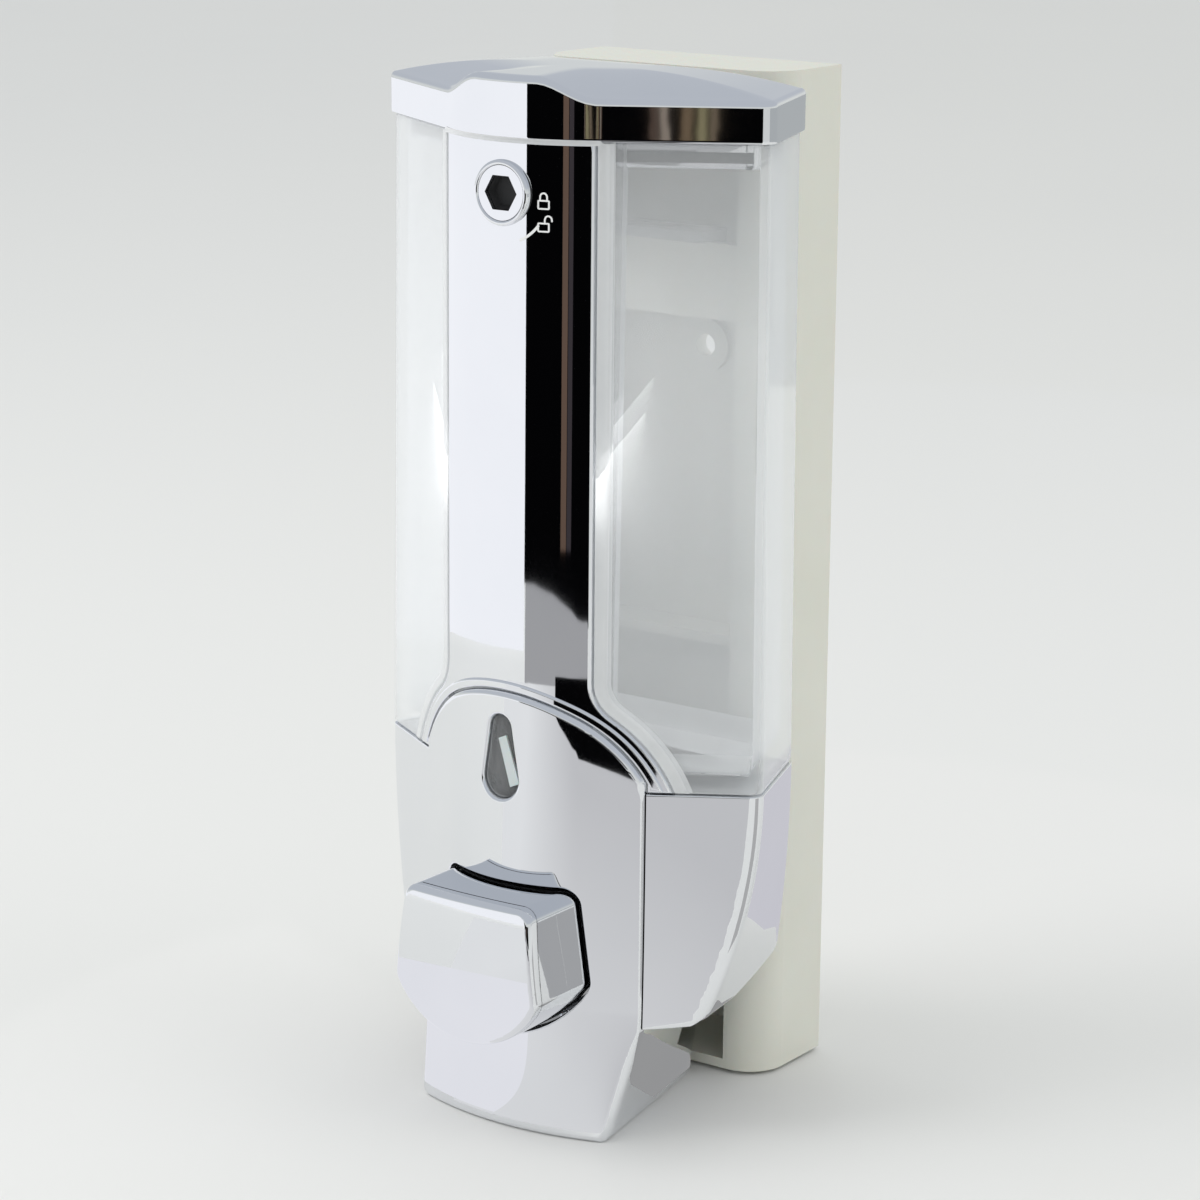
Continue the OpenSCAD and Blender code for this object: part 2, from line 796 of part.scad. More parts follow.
module pump_screws() {
    color("gray") placed() for (side = [-1, 1])
        translate([side * pump_screw_x, bulk_y + bulk_t + flange_t + gap + run_gap, pump_z])
            rotate([90, 0, 0]) screw(flange_t + bulk_t + 1);
}

module inlet_seal() {
    color("black") placed() translate([0, port_y, ring_z])
        rotate_extrude() translate([(spigot_d + socket_d) / 4, 0]) circle(d = ring_section, $fn = 24);
}

module inlet_seat() {
    color("lightgray") placed() difference() {
        bar_z(0, port_y, socket_d - 2 * run_gap, seat_z + run_gap, seat_z + seat_t);
        bar_z(0, port_y, 4, seat_z - 1, seat_z + seat_t + 1);
    }
}

module inlet_ball() {
    color("lightsteelblue") placed() translate([0, port_y, cage_z + ball_d / 2 + 0.02]) sphere(d = ball_d);
}

// Soft outlet valve: a flange on the shelf, a sleeve and two lips that close on a slit
module outlet_valve() {
    color("tomato") placed() difference() {
        union() {
            bar_z(0, port_y, valve_socket_d - 0.2, valve_shelf - 2, valve_shelf - run_gap);
            bar_z(0, port_y, 5.6, outlet_z, valve_shelf - 1);
            intersection() {
                bar_z(0, port_y, 5.6, outlet_z - 4, outlet_z + 1);
                block(-far, far, port_y - 1.4, port_y + 1.4, 0, far);
            }
        }
        bar_z(0, port_y, 3.4, outlet_z, valve_shelf + 1);
        block(-1.6, 1.6, port_y - 0.15, port_y + 0.15, outlet_z - 5, outlet_z + 1);
    }
}

module spout_nozzle() {
    cup_r = outlet_d / 2 + 1.5;
    color("lightgray") placed() translate([0, port_y, 0]) rotate_extrude() polygon([
        [nozzle_bore / 2, nozzle_z],
        [nozzle_d / 2, nozzle_z],
        [nozzle_d / 2, outlet_z - 4],
        [cup_r, outlet_z - 4],
        [cup_r, valve_shelf - 1],
        [outlet_d / 2 + run_gap, valve_shelf - 1],
        [outlet_d / 2 + run_gap, outlet_z - 1],
        [nozzle_bore / 2, outlet_z - 1]
    ]);
}

wall_bracket();
reservoir();
lid();
lid_seal();
front_strip();
lock_ring();
lock_barrel();
lock_cam();
cam_screw();
front_cover();
sight_window();
lower_housing();
pump_chassis();
chassis_screws();
reservoir_screws();
cover_screws();
push_button();
plunger_rod();
piston();
piston_seal();
return_spring();
pump_cylinder();
pump_gland();
pump_screws();
inlet_seal();
inlet_seat();
inlet_ball();
outlet_valve();
spout_nozzle();
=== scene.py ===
"""Wall mounted soap dispenser: chromed shells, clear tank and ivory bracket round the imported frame."""

import json
import logging
import math
from dataclasses import dataclass, field
from enum import Enum
from typing import Callable, Iterable, Sequence

import bmesh
import bpy
import numpy as np
from mathutils import Matrix, Vector

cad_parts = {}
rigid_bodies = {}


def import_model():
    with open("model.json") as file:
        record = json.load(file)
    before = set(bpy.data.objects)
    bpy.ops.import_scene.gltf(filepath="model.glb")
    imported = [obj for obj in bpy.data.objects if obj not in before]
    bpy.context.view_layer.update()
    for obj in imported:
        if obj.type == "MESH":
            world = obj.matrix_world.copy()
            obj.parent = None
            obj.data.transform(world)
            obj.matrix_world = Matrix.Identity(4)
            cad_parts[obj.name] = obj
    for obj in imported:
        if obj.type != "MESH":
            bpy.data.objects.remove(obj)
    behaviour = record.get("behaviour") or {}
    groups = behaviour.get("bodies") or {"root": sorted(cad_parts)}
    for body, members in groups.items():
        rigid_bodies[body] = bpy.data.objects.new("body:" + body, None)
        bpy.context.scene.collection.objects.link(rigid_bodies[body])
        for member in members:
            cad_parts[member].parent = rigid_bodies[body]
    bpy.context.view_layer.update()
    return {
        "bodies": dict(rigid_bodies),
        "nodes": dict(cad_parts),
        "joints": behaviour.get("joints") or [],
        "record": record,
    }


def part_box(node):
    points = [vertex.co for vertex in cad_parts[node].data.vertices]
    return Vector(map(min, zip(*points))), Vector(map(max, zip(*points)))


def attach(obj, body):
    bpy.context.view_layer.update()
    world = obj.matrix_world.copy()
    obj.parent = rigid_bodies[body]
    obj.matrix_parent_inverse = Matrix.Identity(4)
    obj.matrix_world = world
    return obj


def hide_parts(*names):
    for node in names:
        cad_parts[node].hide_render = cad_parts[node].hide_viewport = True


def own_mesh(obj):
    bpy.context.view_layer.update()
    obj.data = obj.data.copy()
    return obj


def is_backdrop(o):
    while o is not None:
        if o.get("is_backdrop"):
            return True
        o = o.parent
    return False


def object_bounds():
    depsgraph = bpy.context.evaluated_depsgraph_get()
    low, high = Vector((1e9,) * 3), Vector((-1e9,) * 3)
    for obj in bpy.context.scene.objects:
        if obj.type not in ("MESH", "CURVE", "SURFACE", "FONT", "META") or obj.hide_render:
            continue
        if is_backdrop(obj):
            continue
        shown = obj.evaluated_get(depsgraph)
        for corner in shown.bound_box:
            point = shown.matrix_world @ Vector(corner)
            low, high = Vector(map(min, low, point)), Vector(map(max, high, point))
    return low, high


log = logging.getLogger("dispenser")

MM = 0.001
# How far light goes into a pale plastic, in metres
LIGHT_REACH = 0.002
# How much of a clear wall's veil still casts a shadow
VEIL_SHADOW = 0.15
# Degrees of a rounded corner between two points
CORNER_STEP = 6
Point = tuple[float, float]
Spot = tuple[float, float, float]
Curve = Callable[[float, float], float]


class Body(Enum):
    """The moving bodies that new pieces ride on."""

    DISPENSER = "dispenser"
    LID = "lid"
    LOCK = "lock"
    PLUNGER = "plunger"


class Slot(Enum):
    """The record's material slots; each new piece is passed one, which nothing reads."""

    CLEAR = "clear_san"
    CHROME = "chrome_abs"
    RUBBER = "black_rubber"
    SPRING = "spring_steel"
    GREY = "grey_abs"
    WHITE = "white_pom"


# ---------------------------------------------------------------- colour and nodes


def srgb(hex_value: str) -> tuple[float, float, float, float]:
    """Turns an sRGB hex colour to linear.

    Args:
        hex_value: Six hex digits.

    Returns:
        Linear red, green and blue, and a full alpha.
    """
    parts = [int(hex_value[i : i + 2], 16) / 255 for i in (0, 2, 4)]
    red, green, blue = (c / 12.92 if c <= 0.04045 else ((c + 0.055) / 1.055) ** 2.4 for c in parts)
    return red, green, blue, 1.0


def add_node(
    tree: bpy.types.NodeTree, kind: str, settings: dict | None = None, links: dict | None = None
) -> bpy.types.Node:
    """Adds one node with its settings and links.

    Args:
        tree: The node tree.
        kind: Blender's type name of the node.
        settings: Values by attribute or input name.
        links: Output sockets by the input that they feed.

    Returns:
        The new node.
    """
    node = tree.nodes.new(kind)
    for name, value in (settings or {}).items():
        if name in node.inputs:
            node.inputs[name].default_value = value
        else:
            setattr(node, name, value)
    for name, socket in (links or {}).items():
        tree.links.new(socket, node.inputs[name])
    return node


def blended(
    tree: bpy.types.NodeTree, share: bpy.types.NodeSocket, first: str, second: str
) -> bpy.types.NodeSocket:
    """Mixes two colours.

    Args:
        tree: The node tree.
        share: Feeds the share of the second colour.
        first: First colour, sRGB hex.
        second: Second colour, sRGB hex.

    Returns:
        The socket that gives the mix.
    """
    mix = add_node(tree, "ShaderNodeMix", {"data_type": "RGBA"})
    factor, start, end = mix.inputs[0], mix.inputs[6], mix.inputs[7]
    start.default_value, end.default_value = srgb(first), srgb(second)
    tree.links.new(share, factor)
    return mix.outputs[2]


@dataclass(frozen=True)
class Finish:
    """A surface finish: its base values, and the fine grain that its making leaves.

    Args:
        name: Material name.
        colour: Base colour, sRGB hex.
        shade: Second colour that the first varies towards, sRGB hex.
        metallic: 1 for a metal.
        roughness: Lowest roughness.
        haze: How much the roughness rises in patches.
        patch_mm: Size of those patches.
        grain_mm: Size of the surface grain.
        bump_mm: Height of that grain.
        ior: Index of refraction, for what isn't metal.
        coat: Weight of a clear skin.
        subsurface: How far light enters a pale plastic, as a weight.
        veil: Opacity seen square on and seen edge on, for a thin clear wall.
    """

    name: str
    colour: str
    shade: str
    metallic: float = 0.0
    roughness: float = 0.4
    haze: float = 0.05
    patch_mm: float = 12.0
    grain_mm: float = 0.6
    bump_mm: float = 0.01
    ior: float = 1.5
    coat: float = 0.0
    subsurface: float = 0.0
    veil: tuple[float, float] | None = None

    def make(self) -> bpy.types.Material:
        """Builds the node material, once.

        Returns:
            The material.
        """
        found = bpy.data.materials.get(self.name)
        if found is not None:
            return found
        material = bpy.data.materials.new(self.name)
        material.use_nodes = True
        tree = material.node_tree
        tree.nodes.clear()
        place = add_node(tree, "ShaderNodeTexCoord").outputs["Object"]
        patches = self.noise(tree, place, self.patch_mm, 3.0, 0.55)
        grain = self.noise(tree, place, self.grain_mm, 2.0, 0.5)
        haze = add_node(
            tree,
            "ShaderNodeMapRange",
            {"From Min": 0.35, "From Max": 0.7, "To Min": self.roughness, "To Max": self.roughness + self.haze},
            {"Value": patches},
        )
        bump = add_node(tree, "ShaderNodeBump", {"Strength": 1.0, "Distance": self.bump_mm * MM}, {"Height": grain})
        values = {"Metallic": self.metallic, "Coat Weight": self.coat, "Subsurface Weight": self.subsurface}
        if self.metallic < 1:
            values["IOR"] = self.ior
        if self.subsurface > 0:
            values["Subsurface Scale"] = LIGHT_REACH
        feeds = {
            "Base Color": blended(tree, patches, self.colour, self.shade),
            "Roughness": haze.outputs["Result"],
            "Normal": bump.outputs["Normal"],
        }
        shader = add_node(tree, "ShaderNodeBsdfPrincipled", values, feeds)
        if self.veil is not None:
            tree.links.new(self.opacity(tree), shader.inputs["Alpha"])
        add_node(tree, "ShaderNodeOutputMaterial", None, {"Surface": shader.outputs["BSDF"]})
        return material

    @staticmethod
    def noise(
        tree: bpy.types.NodeTree, place: bpy.types.NodeSocket, size_mm: float, detail: float, rough: float
    ) -> bpy.types.NodeSocket:
        """A noise of one size in object space; returns its value."""
        settings = {"Scale": 1 / (size_mm * MM), "Detail": detail, "Roughness": rough}
        return add_node(tree, "ShaderNodeTexNoise", settings, {"Vector": place}).outputs["Fac"]

    def opacity(self, tree: bpy.types.NodeTree) -> bpy.types.NodeSocket:
        """The veil of a clear wall: thicker edge on, and thinner for shadows; returns its value."""
        facing = add_node(tree, "ShaderNodeLayerWeight", {"Blend": 0.5}).outputs["Facing"]
        span = {"From Min": 0.15, "From Max": 1.0, "To Min": self.veil[0], "To Max": self.veil[1]}
        veil = add_node(tree, "ShaderNodeMapRange", span, {"Value": facing})
        shadow = add_node(tree, "ShaderNodeLightPath").outputs["Is Shadow Ray"]
        thin = add_node(tree, "ShaderNodeMapRange", {"To Min": 1.0, "To Max": VEIL_SHADOW}, {"Value": shadow})
        product = add_node(tree, "ShaderNodeMath", {"operation": "MULTIPLY"})
        for node, socket in zip((veil, thin), product.inputs):
            tree.links.new(node.outputs["Result"], socket)
        return product.outputs[0]


# Bright chrome on moulded ABS: a mirror with a faint swell from the moulding under it
CHROME = Finish("chrome_plated_abs", "F0F1F3", "E9EBEE", 1.0, 0.012, 0.02, 25.0, 9.0, 0.003)
# Clear moulded SAN: glass-like, with faint flow marks
CLEAR = Finish(
    "clear_moulded_san", "F4F6F8", "EEF1F4", 0.0, 0.03, 0.03, 18.0, 14.0, 0.02, ior=1.57, coat=0.6, veil=(0.22, 0.78)
)
# Polished lens of the same plastic: clearer than the tank
LENS = Finish("clear_lens_san", "F4F6F8", "EEF1F4", 0.0, 0.02, 0.02, 10.0, 14.0, 0.01, ior=1.57, veil=(0.03, 0.5))
# Edges of the same plastic, whiter and more opaque than the tank: painted highlight for the light they gather
EDGE_HIGHLIGHT = Finish(
    "clear_san_lit_edge", "F1F2F3", "E4E6E8", 0.0, 0.1, 0.08, 6.0, 1.2, 0.02, ior=1.57, coat=0.6, veil=(0.55, 0.95)
)
# Ivory moulded ABS: satin, with a spark-eroded grain
IVORY = Finish("ivory_moulded_abs", "DFDFD6", "D8D8CC", 0.0, 0.38, 0.1, 20.0, 0.8, 0.012, ior=1.53, subsurface=0.08)
# White acetal: waxy
WHITE = Finish("white_moulded_acetal", "ECECE8", "E2E2DD", 0.0, 0.32, 0.08, 8.0, 0.7, 0.01, ior=1.48, subsurface=0.1)
# Natural polypropylene: milky
NATURAL = Finish(
    "natural_polypropylene", "DDE2E2", "CFD6D7", 0.0, 0.3, 0.08, 9.0, 0.7, 0.01, ior=1.49, subsurface=0.25
)
# Grey moulded ABS: matt, grained
GREY = Finish("grey_moulded_abs", "9EA1A4", "909396", 0.0, 0.5, 0.1, 10.0, 0.5, 0.02, ior=1.53)
# Nitrile rubber: dull black with a soft bloom
RUBBER = Finish("black_nitrile_rubber", "1B1B1C", "262627", 0.0, 0.6, 0.15, 5.0, 0.4, 0.02, ior=1.52)
# Silicone rubber: translucent orange-red
SILICONE = Finish("red_silicone_rubber", "B4553F", "A34733", 0.0, 0.45, 0.1, 4.0, 0.5, 0.01, ior=1.43, subsurface=0.3)
# Zinc plated steel: slightly cloudy, bluish
ZINC = Finish("zinc_plated_steel", "B9BEC4", "A4A9B0", 1.0, 0.28, 0.14, 3.0, 0.25, 0.01)
# Polished stainless steel: bright, with draw marks
STEEL = Finish("polished_stainless_steel", "C9CCCF", "B9BCBF", 1.0, 0.16, 0.1, 3.0, 0.2, 0.008)
# Stamped brass: yellow, dulled
BRASS = Finish("stamped_brass", "C9A659", "B08C42", 1.0, 0.3, 0.15, 3.0, 0.3, 0.012)
# Dark, half glossy sheet behind the window: painted shade for the dark inside seen through it
SHADE_WELL = Finish("painted_shade_window_well", "2A2B2E", "141517", 0.0, 0.25, 0.12, 5.0, 0.8, 0.01)
# Pad printed ink: flat grey-white
INK = Finish("pad_printed_ink", "F4F4F4", "E4E4E4", 0.0, 0.55, 0.1, 1.5, 0.2, 0.005)

NODE_FINISHES = {
    "wall_bracket": IVORY, "lid_seal": RUBBER, "lock_barrel": CHROME, "lock_cam": BRASS, "cam_screw": ZINC,
    "pump_chassis": GREY, "chassis_screws": ZINC, "reservoir_screws": ZINC, "cover_screws": ZINC,
    "plunger_rod": WHITE, "piston": WHITE, "piston_seal": RUBBER,
    "pump_cylinder": NATURAL, "pump_gland": WHITE, "pump_screws": ZINC, "inlet_seal": RUBBER,
    "inlet_seat": WHITE, "inlet_ball": STEEL, "outlet_valve": SILICONE, "spout_nozzle": GREY,
}


# ---------------------------------------------------------------- outlines


def fillet_path(corners: Sequence[Spot], closed: bool = True, step: float = 2.0) -> list[Point]:
    """Rounds the corners of a path and samples it finely.

    Args:
        corners: First coordinate, second coordinate and radius of each corner, a zero radius for a plain point.
        closed: Whether the path closes.
        step: Longest distance between points on a straight run.

    Returns:
        The points of the rounded path.
    """
    count = len(corners)
    out: list[Point] = []
    for i, (x, y, radius) in enumerate(corners):
        here = Vector((x, y))
        if radius <= 0 or (not closed and i in (0, count - 1)):
            out.append((x, y))
            continue
        before = Vector(corners[i - 1][:2]) - here
        after = Vector(corners[(i + 1) % count][:2]) - here
        half = before.angle(after) / 2
        reach = radius / math.tan(half)
        centre = here + (before.normalized() + after.normalized()).normalized() * (radius / math.sin(half))
        start, end = here + before.normalized() * reach - centre, here + after.normalized() * reach - centre
        turn = start.angle_signed(end)
        parts = max(3, int(abs(math.degrees(turn)) / CORNER_STEP))
        for k in range(parts + 1):
            a = -turn * k / parts
            out.append(
                (
                    centre.x + start.x * math.cos(a) - start.y * math.sin(a),
                    centre.y + start.x * math.sin(a) + start.y * math.cos(a),
                )
            )
    fine: list[Point] = []
    last = len(out) if closed else len(out) - 1
    for i in range(last):
        (ax, ay), (bx, by) = out[i], out[(i + 1) % len(out)]
        parts = max(1, math.ceil(math.hypot(bx - ax, by - ay) / step))
        fine += [(ax + (bx - ax) * k / parts, ay + (by - ay) * k / parts) for k in range(parts)]
    if not closed:
        fine.append(out[-1])
    return fine


def shifted(points: Sequence[Point], distance: float | Curve, closed: bool = True) -> list[Point]:
    """Moves each point of a path square to it, to the left of its direction.

    Args:
        points: The path.
        distance: How far, or a function of the point that gives it.
        closed: Whether the path closes.

    Returns:
        The moved points.
    """
    count = len(points)
    out: list[Point] = []
    for i, (x, y) in enumerate(points):
        if closed:
            a, b = points[i - 1], points[(i + 1) % count]
        else:
            a, b = points[max(i - 1, 0)], points[min(i + 1, count - 1)]
        first = Vector((x - a[0], y - a[1])) if (x, y) != a else Vector((b[0] - x, b[1] - y))
        second = Vector((b[0] - x, b[1] - y)) if (x, y) != b else first
        first.normalize()
        second.normalize()
        normal = Vector((-(first.y + second.y), first.x + second.x))
        normal.normalize()
        square = Vector((-first.y, first.x))
        d = distance(x, y) if callable(distance) else distance
        d /= max(normal.dot(square), 0.5)
        out.append((x + normal.x * d, y + normal.y * d))
    return out


def resampled(
    points: Sequence[Sequence[float]], count: int, closed: bool = True, turning: float = 0.0
) -> list[Spot]:
    """Spreads a path's points evenly over the same path, or closer together where it turns.

    Args:
        points: The path.
        count: How many points to keep.
        closed: Whether the path closes.
        turning: Length that a turn of one radian counts as.

    Returns:
        The new path.
    """
    path = [Vector(p) for p in points] + ([Vector(points[0])] if closed else [])
    weights = [0.0]
    for i, (a, b) in enumerate(zip(path, path[1:])):
        turn = (path[i] - path[i - 1]).angle(b - a, 0.0) if turning and i else 0.0
        weights.append(weights[-1] + (b - a).length + turning * turn)
    spans = count if closed else count - 1
    out = []
    j = 0
    for i in range(count):
        want = weights[-1] * i / spans
        while j < len(path) - 2 and weights[j + 1] < want:
            j += 1
        t = (want - weights[j]) / max(weights[j + 1] - weights[j], 1e-9)
        out.append(tuple(path[j].lerp(path[j + 1], min(t, 1.0))))
    return out


@dataclass(frozen=True)
class Plan:
    """The body seen from above, in millimetres from the wall, with the heights of its main levels.

    Args:
        base: Height of the underside of the nose in the frame, in metres.
        half: Half width across the side corners.
        strip_half: Half width of the front strip.
        crown_y: Front of the strip.
        edge_y: Front face at the strip's edges.
        corner_y: Side corners.
        back_half: Half width of the back.
        back_y: Back.
        seam_z: Seam between the tank and the housing.
        lid_z: Lower edge of the lid.
    """

    base: float
    half: float = 45.0
    strip_half: float = 17.0
    crown_y: float = -72.0
    edge_y: float = -66.5
    corner_y: float = -49.5
    back_half: float = 36.0
    back_y: float = -24.0
    seam_z: float = 70.0
    lid_z: float = 194.0

    @classmethod
    def from_frame(cls) -> "Plan":
        """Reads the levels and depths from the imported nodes."""
        strip_lo, strip_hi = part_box("front_strip")
        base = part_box("front_cover")[0].z
        return cls(
            base=base,
            crown_y=strip_lo.y / MM,
            back_y=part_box("lid")[1].y / MM,
            edge_y=strip_lo.y / MM + 5.5,
            lid_z=round((strip_hi.z - base) / MM + 0.15, 2),
        )

    @property
    def arc_r(self) -> float:
        """Radius of the strip's bulge."""
        bulge = self.edge_y - self.crown_y
        return (self.strip_half**2 + bulge**2) / (2 * bulge)

    @property
    def slope(self) -> float:
        """How fast the window faces fall back."""
        return (self.corner_y - self.edge_y) / (self.half - self.strip_half)

    def front(self, x: float, _z: float = 0.0) -> float:
        """Depth of the smooth front: a round bulge that runs straight on into the window faces.

        Args:
            x: Sideways place.
            _z: Height, which makes no difference.

        Returns:
            The depth, in millimetres.
        """
        x = abs(x)
        meet = self.arc_r * math.sin(math.atan(self.slope))
        on_arc = min(x, meet)
        return self.crown_y + self.arc_r - math.sqrt(self.arc_r**2 - on_arc * on_arc) + (x - on_arc) * self.slope

    def outline(self, inset: float = 0.0, recess: float = 0.0) -> list[Point]:
        """The closed outline of the body, anticlockwise from above.

        Args:
            inset: How far it is pulled in.
            recess: How far the front is set back behind the strip.

        Returns:
            The outline's points.
        """
        r = self.arc_r
        bulge = [
            (x, self.crown_y + recess + r - math.sqrt(r * r - x * x), 0.0)
            for x in (self.strip_half * (i / 12) for i in range(-12, 13))
        ]
        right = [(self.half, self.corner_y, 3.0), (self.back_half, self.back_y, 3.0)]
        if recess:
            right.insert(0, (self.strip_half + 0.3, self.edge_y + 0.2, 0.0))
        path = fillet_path(bulge + right + [(-x, y, radius) for x, y, radius in reversed(right)])
        return shifted(path, inset) if inset else path

    def place(self) -> Matrix:
        """Turns millimetres above the nose into the frame's metres."""
        return Matrix.Translation((0, 0, self.base)) @ Matrix.Scale(MM, 4)


# ---------------------------------------------------------------- mesh making


def ring(
    bm: bmesh.types.BMesh, points: Iterable[Sequence[float]], closed: bool = True
) -> list[bmesh.types.BMEdge]:
    """Lays one wire ring of points.

    Args:
        bm: The mesh in the making.
        points: Three coordinates each.
        closed: Whether the ring closes.

    Returns:
        The ring's edges.
    """
    verts = [bm.verts.new(p) for p in points]
    pairs = list(zip(verts, verts[1:])) + ([(verts[-1], verts[0])] if closed else [])
    return [bm.edges.new(pair) for pair in pairs]


def bridge(
    bm: bmesh.types.BMesh, low: Sequence[bmesh.types.BMEdge], high: Sequence[bmesh.types.BMEdge]
) -> None:
    """Spans the gap between two wire rings with faces."""
    bmesh.ops.bridge_loops(
        bm,
        edges=list(low) + list(high),
        use_pairs=False,
        use_cyclic=False,
        use_merge=False,
        merge_factor=0.5,
        twist_offset=0,
    )


def arc(x: float, z: float, radius: float, start: float, end: float, count: int) -> list[Point]:
    """Points of an arc round a centre, its ends included; angles in radians."""
    return [(x + radius * math.cos(a), z + radius * math.sin(a)) for a in np.linspace(start, end, count)]


def circle(x: float, z: float, radius: float, count: int) -> list[Point]:
    """Points of a circle, anticlockwise from its right."""
    return arc(x, z, radius, 0, math.tau, count + 1)[:-1]


def skinned(
    rings: Sequence[Sequence[Sequence[float]]], first_cap: bool = True, last_cap: bool = True, closed: bool = True
) -> bmesh.types.BMesh:
    """Joins wire rings of equal count into one skin.

    Args:
        rings: The rings, from first to last.
        first_cap: Whether the first ring is filled.
        last_cap: Whether the last ring is filled.
        closed: Whether each ring closes.

    Returns:
        The mesh, its normals outward.
    """
    bm = bmesh.new()
    wires = [ring(bm, points, closed) for points in rings]
    for low, high in zip(wires, wires[1:]):
        bridge(bm, low, high)
    for wanted, wire in ((first_cap, wires[0]), (last_cap, wires[-1])):
        if wanted:
            bmesh.ops.contextual_create(bm, geom=list(wire))
    bmesh.ops.recalc_face_normals(bm, faces=bm.faces[:])
    return bm


def pressed(
    outer: Sequence[Point],
    holes: Sequence[Sequence[Point]],
    depth: Curve,
    wall: float,
    rim: Curve,
    x_step: float = 0.9,
    z_lines: Sequence[float] = (),
    rim_parts: int = 4,
) -> bmesh.types.BMesh:
    """Cuts a sheet to a front elevation, rounds its rims and presses it to the body's curve.

    Args:
        outer: Outline in x and z, clockwise seen from the front.
        holes: Outlines of the holes, the same way round.
        depth: Depth of the outer face by x and z.
        wall: Thickness.
        rim: Radius of the rounded rim at a point.
        x_step: Distance between upright cuts.
        z_lines: Heights of level cuts.
        rim_parts: Facets round the rim.

    Returns:
        The closed mesh, in millimetres.
    """
    bm = bmesh.new()
    drop = bm.verts.layers.float.new("drop")
    inner_edges: list[bmesh.types.BMEdge] = []
    for loop, sign in [(outer, 1.0), *((hole, -1.0) for hole in holes)]:
        wires = []
        for k in range(rim_parts + 1):
            a = math.pi / 2 * k / rim_parts
            points = shifted(loop, lambda x, z: sign * rim(x, z) * (1 - math.cos(a))) if k else list(loop)
            wire = ring(bm, [(x, 0.0, z) for x, z in points])
            for edge in wire:
                for vert in edge.verts:
                    vert[drop] = rim(vert.co.x, vert.co.z) * (1 - math.sin(a))
            wires.append(wire)
        for low, high in zip(wires, wires[1:]):
            bridge(bm, low, high)
        inner_edges += wires[-1]
    bmesh.ops.triangle_fill(bm, use_beauty=True, use_dissolve=False, edges=inner_edges, normal=(0, -1, 0))
    reach = max(abs(x) for x, _ in outer)
    count = int(reach / x_step)
    cuts = [(Vector(((k + 0.5) * x_step, 0, 0)), Vector((1, 0, 0))) for k in range(-count - 1, count + 1)]
    cuts += [(Vector((0, 0, z)), Vector((0, 0, 1))) for z in z_lines]
    for place, normal in cuts:
        whole = bm.verts[:] + bm.edges[:] + bm.faces[:]
        bmesh.ops.bisect_plane(bm, geom=whole, dist=1e-5, plane_co=place, plane_no=normal)
    for vert in bm.verts:
        vert.co.y = depth(vert.co.x, vert.co.z) + vert[drop]
    grown = bmesh.ops.extrude_face_region(bm, geom=bm.faces[:], use_keep_orig=True)
    back = [g for g in grown["geom"] if isinstance(g, bmesh.types.BMVert)]
    for vert in back:
        vert.co.y += wall - vert[drop]
        vert[drop] = -1.0
    bmesh.ops.recalc_face_normals(bm, faces=bm.faces[:])
    return bm


def block(x0: float, x1: float, y0: float, y1: float, z0: float, z1: float, edge: float) -> bmesh.types.BMesh:
    """A moulded block with softened edges.

    Args:
        x0, x1, y0, y1, z0, z1: Its box, in millimetres.
        edge: Radius of its edges.

    Returns:
        The mesh.
    """
    bm = bmesh.new()
    size = Matrix.Diagonal((x1 - x0, y1 - y0, z1 - z0, 1))
    middle = Matrix.Translation(((x0 + x1) / 2, (y0 + y1) / 2, (z0 + z1) / 2))
    bmesh.ops.create_cube(bm, size=1, matrix=middle @ size)
    bmesh.ops.bevel(bm, geom=bm.edges[:], offset=edge, segments=2, profile=0.5, affect="EDGES", material=-1)
    return bm


def joined(parts: Sequence[bmesh.types.BMesh]) -> bmesh.types.BMesh:
    """Puts several meshes into the first of them.

    Args:
        parts: The meshes.

    Returns:
        The first mesh, with all of them in it.
    """
    base = parts[0]
    for part in parts[1:]:
        spare = bpy.data.meshes.new("spare")
        part.to_mesh(spare)
        base.from_mesh(spare)
        part.free()
        bpy.data.meshes.remove(spare)
    return base


